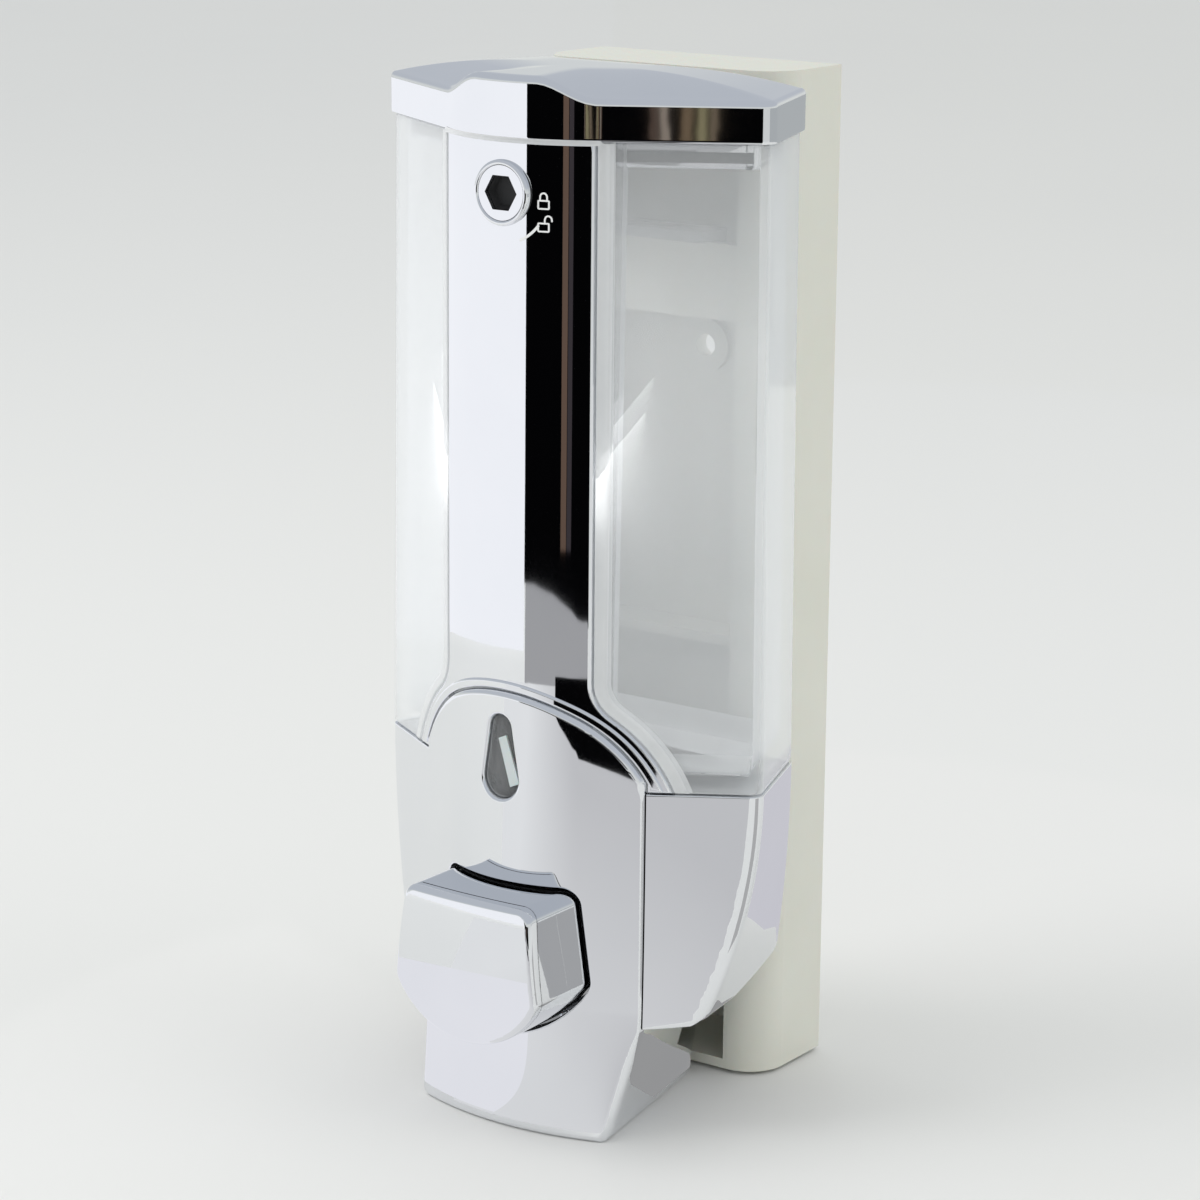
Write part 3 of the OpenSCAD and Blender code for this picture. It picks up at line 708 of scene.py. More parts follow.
@dataclass
class Maker:
    """Turns finished meshes into pieces of the object.

    Args:
        plan: The body's plan and levels.
    """

    plan: Plan
    made: list[str] = field(default_factory=list)

    def piece(
        self,
        bm: bmesh.types.BMesh,
        name: str,
        finish: Finish,
        body: Body,
        slot: Slot,
        replaces: Sequence[str] = (),
        depth: Curve | None = None,
        sharp: float = 32.0,
    ) -> bpy.types.Object:
        """Makes the object, dresses it and lets it ride.

        Args:
            bm: The mesh, in millimetres above the nose.
            name: The piece's name.
            finish: Its finish.
            body: The body it rides on.
            slot: The record's slot it belongs to; not used.
            replaces: CAD nodes it stands for.
            depth: The curve its front follows, for exact shading.
            sharp: Angle above which an edge stays sharp, in degrees.

        Returns:
            The object.
        """
        mesh = bpy.data.meshes.new(name)
        bm.to_mesh(mesh)
        bm.free()
        mesh.shade_smooth()
        mesh.set_sharp_from_angle(angle=math.radians(sharp))
        if depth is not None:
            self.true_normals(mesh, depth)
        mesh.transform(self.plan.place())
        mesh.materials.append(finish.make())
        piece = bpy.data.objects.new(name, mesh)
        bpy.context.scene.collection.objects.link(piece)
        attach(piece, body.value)
        if replaces:
            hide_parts(*replaces)
        self.made.append(name)
        log.info("%s: %d faces on %s", name, len(mesh.polygons), body.value)
        return piece

    @staticmethod
    def true_normals(mesh: bpy.types.Mesh, depth: Curve) -> None:
        """Gives the face that follows a curve the curve's own normals.

        Args:
            mesh: The mesh, in millimetres.
            depth: The curve.
        """
        normals = np.empty(len(mesh.loops) * 3, np.float32)
        mesh.corner_normals.foreach_get("vector", normals)
        normals = normals.reshape(-1, 3)
        tiny = 1e-3
        known: dict[int, Vector | None] = {}
        for vert in mesh.vertices:
            x, y, z = vert.co
            if abs(y - depth(x, z)) > 2e-4:
                known[vert.index] = None
                continue
            dx = (depth(x + tiny, z) - depth(x - tiny, z)) / (2 * tiny)
            dz = (depth(x, z + tiny) - depth(x, z - tiny)) / (2 * tiny)
            known[vert.index] = Vector((dx, -1, dz)).normalized()
        for face in mesh.polygons:
            for loop in face.loop_indices:
                true = known[mesh.loops[loop].vertex_index]
                if true is not None and face.normal.dot(true) > 0.6:
                    normals[loop] = true
        mesh.normals_split_custom_set(normals)


# ---------------------------------------------------------------- sub-assemblies


@dataclass
class Lid:
    """The chromed lid: an upright face that swells over the strip, a shallow dome, a plug and a catch."""

    maker: Maker
    face_h: float = 8.0
    hump_h: float = 3.7
    hump_flat: float = 7.0
    hump_end: float = 17.5
    centre_y: float = -46.0

    def swell(self, x: float, y: float) -> float:
        """How far the hump is up at a point of the outline, 0 to 1."""
        if y > -60:
            return 0.0
        t = (self.hump_end - abs(x)) / (self.hump_end - self.hump_flat)
        t = min(max(t, 0.0), 1.0)
        return t * t * (3 - 2 * t)

    def build(self) -> None:
        """Lofts the lid and adds its plug and catch."""
        plan = self.maker.plan
        z0 = plan.lid_z
        edge = plan.outline()
        swells = [self.swell(x, y) for x, y in edge]
        radius = 1.1

        def level(inset: float, z: float) -> list[Spot]:
            return [(x, y, z0 + z) for x, y in shifted(edge, inset)]

        def upper(inset: float, below: float) -> list[Spot]:
            path = shifted(edge, inset) if inset else edge
            return [(x, y, z0 + self.face_h + self.hump_h * s - below) for (x, y), s in zip(path, swells)]

        def dome(scale: float, rise: float) -> list[Spot]:
            path = shifted(edge, radius)
            lift = z0 + self.face_h
            return [
                (x * scale, self.centre_y + (y - self.centre_y) * scale, lift + self.hump_h * (s + (1 - s) * rise))
                for (x, y), s in zip(path, swells)
            ]

        foot = ((1.8, 6.0), (1.8, 0.3), (1.5, 0.0), (0.4, 0.0), (0.1, 0.1), (0.0, 0.4), (0.0, 0.7))
        rings = [level(inset, z) for inset, z in foot] + [upper(0.0, radius + 0.3), upper(0.0, radius)]
        for k in range(1, 5):
            a = math.pi / 2 * k / 4
            rings.append(upper(radius * (1 - math.cos(a)), radius * (1 - math.sin(a))))
        for k in range(1, 15):
            t = k / 15
            rings.append(dome(1 - t, 1 - (1 - min(t / 0.75, 1)) ** 2))
        shell = skinned(rings)
        plug_out, plug_t, plug_h = 4.45, 1.5, 5.0
        outside = ((0, 6), (0, 0.5 - plug_h), (0.3, -plug_h))
        inside = ((plug_t - 0.2, -plug_h), (plug_t, 0.3 - plug_h), (plug_t, 6))
        plug = skinned([level(plug_out + inset, z) for inset, z in outside + inside], False, False)
        catch_x, catch_y, catch_z = 10.0, -62.8, z0 - 10 - 3.6
        hook = block(catch_x, catch_x + 2.4, catch_y, catch_y + 2.8, catch_z - 3.4, z0 + 7, 0.3)
        toe = block(5.2, catch_x + 1, catch_y, catch_y + 2.8, catch_z - 3.4, catch_z, 0.3)
        self.maker.piece(shell, "lid_shell", CHROME, Body.LID, Slot.CHROME, ["lid"], sharp=40)
        self.maker.piece(joined([plug, hook, toe]), "lid_plug", CHROME, Body.LID, Slot.CHROME, sharp=40)


@dataclass
class FrontStrip:
    """The bulged strip, which flares into a band round the arch."""

    maker: Maker
    wall: float = 1.8
    arch_r: float = 29.0
    band_w: float = 3.2
    flare_r: float = 9.0
    arch_z: float = 59.5
    rim: float = 0.55
    keyhole_r: float = 6.3
    bead_r: tuple[float, float] = (31.1, 29.35)

    def outline(self, grow: float = 0.0) -> list[Point]:
        """Outer outline from the front, clockwise, without the arch's cut.

        Args:
            grow: How far it is spread.

        Returns:
            Points from the left foot up, over and down to the right foot.
        """
        plan = self.maker.plan
        half, band_r, flare_r = plan.strip_half + grow, self.arch_r + self.band_w + grow, self.flare_r - grow
        flare_x = half + flare_r
        flare_z = self.arch_z + math.sqrt((band_r + flare_r) ** 2 - flare_x**2)
        foot = plan.seam_z + 0.15 - self.arch_z
        a_foot = math.atan2(foot, math.sqrt(band_r**2 - foot**2))
        a_meet = math.atan2(flare_z - self.arch_z, flare_x)
        right: list[Point] = [(half, plan.lid_z - 0.15)]
        right += [(half, z) for z in np.linspace(plan.lid_z - 3, flare_z + 1, 24)]
        for k in range(11):
            a = math.pi + a_meet * k / 10
            right.append((flare_x + flare_r * math.cos(a), flare_z + flare_r * math.sin(a)))
        right += arc(0.0, self.arch_z, band_r, a_meet, a_foot, 13)[1:]
        left = [(-x, z) for x, z in reversed(right)]
        return left + right

    def build(self) -> None:
        """Presses the strip and the clear rib that runs beside it."""
        plan = self.maker.plan
        top_line = self.outline()
        cut_r, cut_x = self.arch_r + 0.3, 26.3
        z_cut = self.arch_z + math.sqrt(cut_r**2 - cut_x**2)
        a0 = math.atan2(z_cut - self.arch_z, cut_x)
        cut = arc(0.0, self.arch_z, cut_r, a0, math.pi - a0, 49)
        under = [(cut_x, plan.seam_z + 0.15), *cut, (-cut_x, plan.seam_z + 0.15)]
        keyhole = arc(0.0, plan.lid_z - 10, self.keyhole_r, 0, -math.tau, 49)[:-1]
        line = self.clockwise(top_line + under)
        sheet = pressed(line, [keyhole], plan.front, self.wall, lambda x, z: self.rim, 0.8)
        self.maker.piece(
            sheet, "front_strip_shell", CHROME, Body.DISPENSER, Slot.CHROME, ["front_strip"], depth=plan.front
        )

        def bead_depth(x: float, z: float) -> float:
            return plan.front(x) - 0.45

        over = arc(0.0, self.arch_z, self.bead_r[0], 0.36, math.pi - 0.36, 73)
        below = arc(0.0, self.arch_z, self.bead_r[1], math.pi - 0.4, 0.4, 73)
        bead = pressed(self.clockwise(over + below), [], bead_depth, 1.2, lambda x, z: 0.5, 1.2, rim_parts=3)
        self.maker.piece(bead, "arch_bead", CHROME, Body.DISPENSER, Slot.CHROME, depth=bead_depth)
        # The rib takes the whitened clear finish: painted highlight on its bright edge
        near, far = self.outline(0.35), self.outline(2.5)
        band = self.clockwise(far + list(reversed(near)))
        rib = pressed(band, [], plan.front, 1.7, lambda x, z: 0.5, 1.5, rim_parts=3)
        self.maker.piece(rib, "tank_rib", EDGE_HIGHLIGHT, Body.DISPENSER, Slot.CLEAR)

    @staticmethod
    def clockwise(points: list[Point]) -> list[Point]:
        """The points in the order that makes left of the path point inwards."""
        area = sum(a[0] * b[1] - b[0] * a[1] for a, b in zip(points, points[1:] + points[:1]))
        return points if area > 0 else list(reversed(points))


@dataclass
class Tank:
    """The clear tank: thin walls with draft, a floor, a rounded inner rim and a rear hook."""

    maker: Maker
    floor: float = 2.5
    hook_z: float = 170.0

    def build(self) -> None:
        """Lofts the tank's walls inside and out."""
        plan = self.maker.plan
        z0, z1 = plan.seam_z + 0.15, plan.lid_z - 0.2

        middle = (z0 + z1) / 2

        def levels(steps: Sequence[Point]) -> list[list[Spot]]:
            return [[(x, y, z) for x, y in plan.outline(inset, recess=2.0)] for inset, z in steps]

        outside = ((1.2, z0), (0.4, z0), (0.1, z0 + 0.5), (0.15, z0 + 4), (0.6, middle), (1.0, z1 - 0.3), (1.3, z1))
        inside = ((2.9, z1), (3.2, z1 - 0.4), (2.8, middle), (2.4, z0 + 8))
        bottom = ((2.6, z0 + 4.5), (3.4, z0 + 2.9), (4.6, z0 + self.floor))
        body = skinned(levels(outside + inside + bottom))
        hook_z, leg = self.hook_z, -18.2
        arm = block(-13, 13, plan.back_y - 0.8, leg + 2.3, hook_z + 0.15, hook_z + 2.45, 0.4)
        down = block(-13, 13, leg, leg + 2.3, hook_z - 7, hook_z + 2.45, 0.4)
        self.maker.piece(body, "tank_shell", CLEAR, Body.DISPENSER, Slot.CLEAR, ["reservoir"], sharp=40)
        # The hook takes the whitened clear finish too: painted highlight
        self.maker.piece(joined([arm, down]), "tank_hook", EDGE_HIGHLIGHT, Body.DISPENSER, Slot.CLEAR, sharp=40)
        # Floor rim and inlet lip in the whitened clear finish: painted highlight along the floor's inner edge
        foot_steps = ((2.5, z0 + 7.2), (2.9, z0 + 6.4), (3.6, z0 + 4.4), (5.0, z0 + 2.9), (12.0, z0 + 2.6))
        foot = skinned(levels(foot_steps), False, True)
        lo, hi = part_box("inlet_seal")
        mid = (lo + hi) * (0.5 / MM)
        lip_steps = ((6.4, 2.4), (6.4, 3.6), (6.1, 3.9), (5.2, 3.9), (5.0, 3.6), (5.0, 2.4))
        lip_rings = [[(x, y, z0 + z) for x, y in circle(mid.x, mid.y, r, 40)] for r, z in lip_steps]
        lip = skinned(lip_rings, False, False)
        self.maker.piece(joined([foot, lip]), "tank_floor", EDGE_HIGHLIGHT, Body.DISPENSER, Slot.CLEAR, sharp=40)


@dataclass
class Cover:
    """The front cover: arched top, button opening, sight window and nose."""

    maker: Maker
    wall: float = 1.6
    half: float = 26.0
    arch_r: float = 29.0
    arch_z: float = 59.5
    chin_z: float = 22.0
    foot_half: float = 22.5
    foot_bulge: float = 4.3
    proud: float = 0.8
    blend: float = 4.0

    def depth(self, x: float, z: float) -> float:
        """Depth of the cover's outer face: the body's curve above the chin, then easing into the nose's."""
        plan = self.maker.plan
        upper = plan.front(x) - self.proud
        top = self.chin_z + self.blend
        if z >= top:
            return upper
        t = min(1.0, (top - z) / top)
        ease = t**1.35
        r = (self.foot_half**2 + self.foot_bulge**2) / (2 * self.foot_bulge)
        foot = plan.crown_y - self.proud + r - math.sqrt(max(r * r - x * x, 1.0))
        return upper + (foot - upper) * ease

    def window_outline(self, grow: float = 0.0) -> list[Point]:
        """The drop shaped window, anticlockwise."""
        plan = self.maker.plan
        low_z, low_r, high_z, high_r = plan.seam_z + 1.2, 4.1 + grow, plan.seam_z + 11.4, 2.5 + grow
        lean = math.asin((low_r - high_r) / (high_z - low_z))
        low = arc(0.0, low_z, low_r, math.pi - lean, math.tau + lean, 33)
        return low + arc(0.0, high_z, high_r, lean, math.pi - lean, 17)

    def outline(self) -> list[Point]:
        """The cover's outline, anticlockwise."""
        z_meet = self.arch_z + math.sqrt(self.arch_r**2 - self.half**2)
        a0 = math.atan2(z_meet - self.arch_z, self.half)
        foot = [(x, 0.0) for x in np.linspace(-self.foot_half + 1, self.foot_half - 1, 31)]
        flare = self.half - self.foot_half
        right = [(self.foot_half + 0.05, 1.2)]
        right += [(self.foot_half + flare * z / self.chin_z, z) for z in np.linspace(3, self.chin_z, 9)]
        right += [(self.half, z) for z in np.linspace(self.chin_z + 2, z_meet - 1, 22)]
        left = [(-x, z) for x, z in reversed(right)]
        return foot + right + arc(0.0, self.arch_z, self.arch_r, a0, math.pi - a0, 61) + left

    def build(self) -> None:
        """Presses the cover with its nose, then a black sleeve behind the button that paints shade in its gap, and the
        window.
        """
        plan = self.maker.plan

        def rim(x: float, z: float) -> float:
            if z < self.chin_z and abs(x) > 10:
                return 0.4 + 0.9 * min(1.0, (self.chin_z - z) / 6)
            if z < 4:
                return 1.3
            if z > plan.seam_z and math.hypot(x, z - self.arch_z) > 26:
                return 1.1
            if z > plan.seam_z - 5 and abs(x) < 6:
                return 0.7
            return 0.4

        levels = [1.5, 3, 5, 7, 9, 11, 13, 15, 17, 19, 21, 23, 25, 26]
        holes = [Button.outline(0.7), self.window_outline()]
        face = pressed(self.outline(), holes, self.depth, self.wall, rim, 1.0, levels)
        shell = joined([face, self.nose()])
        self.maker.piece(
            shell, "front_cover_shell", CHROME, Body.DISPENSER, Slot.CHROME, ["front_cover"], depth=self.depth
        )

        def behind(
            line: list[Point], inner: list[list[Point]], gap: float, wall: float, rim_r: float, step: float
        ) -> bmesh.types.BMesh:
            """A sheet that follows the cover's face at a distance behind it."""

            def back(x: float, z: float) -> float:
                return self.depth(x, z) + gap

            return pressed(line, inner, back, wall, lambda x, z: rim_r, step, rim_parts=2)

        # Black sleeve behind the button: painted shade in the gap round it
        gap_shade = behind(Button.outline(2.4), [Button.outline(0.45)], 1.7, 1.4, 0.2, 1.5)
        self.maker.piece(gap_shade, "button_gap_shade", RUBBER, Body.DISPENSER, Slot.RUBBER)
        # Dark sheet behind the window: painted shade for the inside seen through it
        shade_backing = behind(self.window_outline(0.8), [], 2.3, 0.5, 0.2, 1.5)
        self.maker.piece(shade_backing, "window_shade_well", SHADE_WELL, Body.DISPENSER, Slot.GREY)
        front = self.depth(0, 75) + 1.9
        strut_line = ((-1.6, 78.6), (0.2, 79.4), (3.4, 70.2), (1.2, 69.2))
        strut = skinned([[(x, y, z) for x, z in strut_line] for y in (front, front + 0.5)])
        self.maker.piece(strut, "window_strut", NATURAL, Body.DISPENSER, Slot.GREY)
        lens = behind(self.window_outline(-0.15), [], 0.9, 1.2, 0.3, 0.8)
        self.maker.piece(lens, "sight_window_lens", LENS, Body.DISPENSER, Slot.CLEAR, ["sight_window"])

    def nose(self) -> bmesh.types.BMesh:
        """The nose's side walls and underside, as one skin behind the cover's face."""

        def section(z: float, inset: float) -> list[Spot]:
            t = min(1.0, z / self.chin_z)
            half = self.foot_half + (self.half - self.foot_half) * t - inset
            back_half = 15 + 3 * t - inset
            back = -27.0 - 1.0 * t - inset
            front = [(x, self.depth(x, max(z, 0.5)) + 0.5 + inset * 0.9, 0.0) for x in np.linspace(-half, half, 13)]
            corners = [*front, (back_half, back, 1.5), (-back_half, back, 1.5)]
            return [(x, y, z) for x, y in fillet_path(corners, True, 3.0)]

        rings = [section(z, inset) for z, inset in ((0.0, 4.0), (0.0, 1.4), (0.15, 0.7), (0.5, 0.25), (1.2, 0.0))]
        rings += [section(z, 0.0) for z in (4, 8, 12, 16, 19, 20, 24, 28, 32)]
        rings += [section(z, 1.6) for z in (32, 20.6, 18.4, 2)]
        fewest = min(len(line) for line in rings)
        if any(len(line) != fewest for line in rings):
            rings = [resampled(line, fewest) for line in rings]
        bm = skinned(rings)
        # The way is open behind the button
        middles = [(face, face.calc_center_median()) for face in bm.faces]
        behind = [face for face, at in middles if at.z > 19.2 and abs(at.x) < 18.8 and at.y < -50]
        bmesh.ops.delete(bm, geom=behind, context="FACES")
        return bm


@dataclass
class Housing:
    """The lower housing: side shells whose corners tuck in below the seam, the deck and the lower hook."""

    maker: Maker
    wall: float = 1.8
    chin_z: float = 22.0
    chin_rise: float = 10.0
    tuck_in: float = 9.5
    seam_x: float = 26.2

    def edge_z(self, y: float) -> float:
        """Height of the lower edge by depth: level in front, rising to the back."""
        t = min(max((y + 62) / 38, 0.0), 1.0)
        return self.chin_z + self.chin_rise * (t**1.15)

    def path(self, z: float, inset: float) -> list[Point]:
        """Half of the section at a height, from the cover's seam round to the middle of the back."""
        plan = self.maker.plan
        t = self.tuck_in * ((plan.seam_z - z) / (plan.seam_z - self.chin_z)) ** 2
        corner = (plan.half - t, plan.corner_y - 0.7 * t)
        slope = (corner[1] - plan.edge_y) / (corner[0] - plan.strip_half)
        seam = (self.seam_x, plan.edge_y + (self.seam_x - plan.strip_half) * slope)
        back = (plan.back_half - 0.35 * t, plan.back_y, 3.0)
        path = fillet_path([(*seam, 0.0), (*corner, 3.2), back, (0.0, plan.back_y, 0.0)], False, 0.4)
        path = [tuple(p[:2]) for p in resampled([(x, y, 0.0) for x, y in path], 84, False, 14.0)]
        return shifted(path, inset, False) if inset else path

    def build(self) -> None:
        """Lofts one side, mirrors it and adds the deck and the hook."""
        plan = self.maker.plan
        top = plan.seam_z - 0.15
        base = self.path(plan.seam_z, 0.0)
        ends = [self.edge_z(y) for _, y in base]

        def row(v: float, inset: float, lift: float = 0.0) -> list[Spot]:
            out = []
            for i, end in enumerate(ends):
                z = top + (end - top) * v + lift
                x, y = self.path(z, inset)[i]
                out.append((x, y, z))
            return out

        upper_rim = ((1.2, 0.0), (0.18, 0.0), (0.05, -0.05), (0.0, -0.18), (0.0, -0.36))
        lower_rim = ((0.0, 0.5), (0.12, 0.15), (0.45, 0.0), (1.3, 0.0), (1.7, 0.3), (1.8, 1.0))
        rows = [row(0, inset, lift) for inset, lift in upper_rim]
        rows += [row(v, 0.0) for v in np.linspace(0.06, 0.97, 18)]
        rows += [row(1, inset, lift) for inset, lift in lower_rim]
        rows += [row(v, self.wall) for v in (0.7, 0.3, 0.05)]
        side = skinned(rows, False, False, closed=False)
        mirrored = bmesh.ops.duplicate(side, geom=side.verts[:] + side.edges[:] + side.faces[:])
        copies = [item for item in mirrored["geom"] if isinstance(item, bmesh.types.BMVert)]
        bmesh.ops.scale(side, vec=(-1, 1, 1), verts=copies)
        bmesh.ops.remove_doubles(side, verts=side.verts[:], dist=1e-3)
        bmesh.ops.recalc_face_normals(side, faces=side.faces[:])
        deck_line = plan.outline(2.4)
        deck = skinned([[(x, y, z) for x, y in deck_line] for z in (66.85, top)])
        hook_z = 61.5
        arm = block(-13, 13, plan.back_y - 0.8, -15.9, hook_z + 0.15, hook_z + 2.45, 0.4)
        leg = block(-13, 13, -18.2, -15.9, hook_z - 7, hook_z + 2.45, 0.4)
        shell = joined([side, deck, arm, leg])
        self.maker.piece(
            shell, "lower_housing_shell", CHROME, Body.DISPENSER, Slot.CHROME, ["lower_housing"], sharp=38
        )


@dataclass
class Button:
    """The push button: a rounded D with a soft front rim and a hollow back."""

    maker: Maker
    low_z: float = 20.5
    height: float = 29.5
    half: float = 17.0
    belly: float = 10.5
    wall: float = 2.6

    @classmethod
    def outline(cls, grow: float = 0.0) -> list[Point]:
        """The button's outline from the front, anticlockwise."""
        half, low, side, top = cls.half, cls.low_z, cls.low_z + cls.belly, cls.low_z + cls.height
        r = (half**2 + cls.belly**2) / (2 * cls.belly)
        spread = [half * i / 12 for i in range(-11, 12)]
        bottom = [(x, low + r - math.sqrt(r * r - x**2), 0.0) for x in spread]
        above = [(half, side, 3.0), (half - 2, top, 3.0), (-half + 2, top, 3.0)]
        path = fillet_path([(-half, side, 3.0), *bottom, *above])
        return shifted(path, -grow) if grow else path

    def build(self) -> None:
        """Lofts the button from its hollow to its crown."""
        lo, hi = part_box("push_button")
        back, crown = hi.y / MM, lo.y / MM
        centre_z = self.low_z + self.height * 0.5
        edge = self.outline()

        def crown_at(x: float, z: float) -> float:
            return crown + 0.9 * (x / self.half) ** 2 + 1.1 * ((z - centre_z) / (self.height / 2)) ** 2

        levels = [self.low_z + k for k in range(1, 30)]
        cap = pressed(edge, [], crown_at, self.wall, lambda x, z: 1.15, 1.0, levels, rim_parts=5)

        def level(inset: float, y: float | None) -> list[Spot]:
            path = shifted(edge, inset) if inset else edge
            return [(x, crown_at(x, z) + self.wall - 0.3 if y is None else y, z) for x, z in path]

        skirt = skinned([level(1.8, None), level(1.8, back), level(0.0, back), level(0.0, None)], False, False)
        button = joined([cap, skirt])
        self.maker.piece(
            button, "button_cap", CHROME, Body.PLUNGER, Slot.CHROME, ["push_button"], depth=crown_at, sharp=40
        )


@dataclass
class Spring:
    """The return spring, a coil of fixed length; it does not shorten as the button goes in."""

    maker: Maker
    wire_r: float = 0.55
    turns: int = 7
    steps: int = 26
    seat_y: float = -59.5
    travel: float = 10.0

    def build(self) -> None:
        """Sweeps the wire round its axis."""
        lo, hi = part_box("return_spring")
        coil_r = (hi.x - lo.x) / 2 / MM - self.wire_r
        mid_z = ((lo.z + hi.z) / 2 - self.maker.plan.base) / MM
        start, end = lo.y / MM + self.wire_r, hi.y / MM - self.wire_r
        rings = []
        for i in range(self.turns * self.steps + 1):
            way = math.tau * i / self.steps
            along = start + (end - start) * i / (self.turns * self.steps)
            ring_at = []
            for b in np.linspace(0, math.tau, 11)[:-1]:
                r = coil_r + self.wire_r * math.cos(b)
                ring_at.append((r * math.cos(way), along + self.wire_r * math.sin(b), mid_z + r * math.sin(way)))
            rings.append(ring_at)
        wire = skinned(rings)
        coil = self.maker.piece(
            wire, "return_spring_coil", STEEL, Body.DISPENSER, Slot.SPRING, ["return_spring"], sharp=50
        )
        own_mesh(coil)


@dataclass
class Lock:
    """The lock's ring and the padlock marks printed beside it."""

    maker: Maker

    def build(self) -> None:
        """Spins the ring and lays the marks."""
        lo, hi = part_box("lock_ring")
        middle = (lo + hi) / 2
        centre = Vector((middle.x / MM, 0, (middle.z - self.maker.plan.base) / MM))
        front = lo.y / MM
        bm = bmesh.new()
        profile = [(5.2, 1.6), (5.2, 0.35), (5.35, 0.08), (5.6, 0.0), (5.95, 0.1), (6.15, 0.4), (6.2, 0.9), (6.2, 1.6)]
        verts = [bm.verts.new((centre.x + r, front + y, centre.z)) for r, y in profile]
        edges = [bm.edges.new(pair) for pair in zip(verts, verts[1:])]
        bmesh.ops.spin(
            bm,
            geom=verts + edges,
            cent=centre,
            axis=(0, 1, 0),
            dvec=(0, 0, 0),
            angle=math.tau,
            steps=64,
            use_merge=True,
            use_normal_flip=False,
            use_duplicate=False,
        )
        bmesh.ops.recalc_face_normals(bm, faces=bm.faces[:])
        self.maker.piece(bm, "lock_ring_trim", CHROME, Body.DISPENSER, Slot.CHROME, ["lock_ring"], sharp=50)

        def rings(count: int, steps: Sequence[Point]) -> list[list[Spot]]:
            return [[(x, front + y, z) for x, z in circle(centre.x, centre.z, r, count)] for r, y in steps]

        # Black ring behind the lock's ring: painted shade in the gap between ring and barrel
        ring_gap_shade = skinned(rings(48, ((5.05, 1.7), (5.05, 1.25), (6.25, 1.25), (6.25, 1.7))), False, False)
        self.maker.piece(ring_gap_shade, "lock_ring_gap_shade", RUBBER, Body.DISPENSER, Slot.RUBBER)
        # Black hexagonal lining in the socket: painted shade inside the hole
        shade_backing = skinned(rings(6, ((3.62, 4.5), (3.62, 1.2), (2.9, 2.6))))
        self.maker.piece(shade_backing, "socket_shade_lining", RUBBER, Body.LOCK, Slot.RUBBER)
        self.maker.piece(self.marks(), "padlock_marks", INK, Body.DISPENSER, Slot.WHITE)

    def stroke(self, path: Sequence[Point], width: float) -> bmesh.types.BMesh:
        """One printed line on the strip.

        Args:
            path: Its middle, in x and z.
            width: Its width.

        Returns:
            A thin raised band.
        """
        plan = self.maker.plan
        left, right = shifted(path, width / 2, False), shifted(path, -width / 2, False)
        rings = []
        for line in (left, right):
            rings.append([(x, plan.front(x) - 0.04, z) for x, z in line])
        bm = skinned(rings, False, False, closed=False)
        bmesh.ops.solidify(bm, geom=bm.faces[:], thickness=0.05)
        return bm

    def marks(self) -> bmesh.types.BMesh:
        """A closed and an open padlock, with an arc between them, drawn as plain outlines."""
        plan = self.maker.plan
        parts = []
        cx, w, h = 8.5, 2.3, 1.8
        for cz, opened in ((183.2, False), (179.0, True)):
            corners = ((cx - w / 2, cz - h), (cx + w / 2, cz - h), (cx + w / 2, cz), (cx - w / 2, cz))
            case = fillet_path([(x, z, 0.3) for x, z in corners], True, 0.4)
            lines = (case, shifted(case, 0.3))
            frame = skinned([[(x, plan.front(x) - 0.04, z) for x, z in line] for line in lines], False, False)
            bmesh.ops.solidify(frame, geom=frame.faces[:], thickness=0.05)
            parts.append(frame)
            side = cx + (0.9 if opened else 0.0)
            bow = [(side + 0.65 * math.cos(a), cz + 0.5 + 0.75 * math.sin(a)) for a in np.linspace(0, math.pi, 13)]
            start = (side + 0.65, cz + (0.2 if opened else 0.0))
            parts.append(self.stroke([start, *bow, (side - 0.65, cz)], 0.3))
        turn = arc(0.0, 184, 9.4, math.radians(-36), math.radians(-66), 9)
        parts.append(self.stroke(turn, 0.5))
        return joined(parts)


# ---------------------------------------------------------------- stage


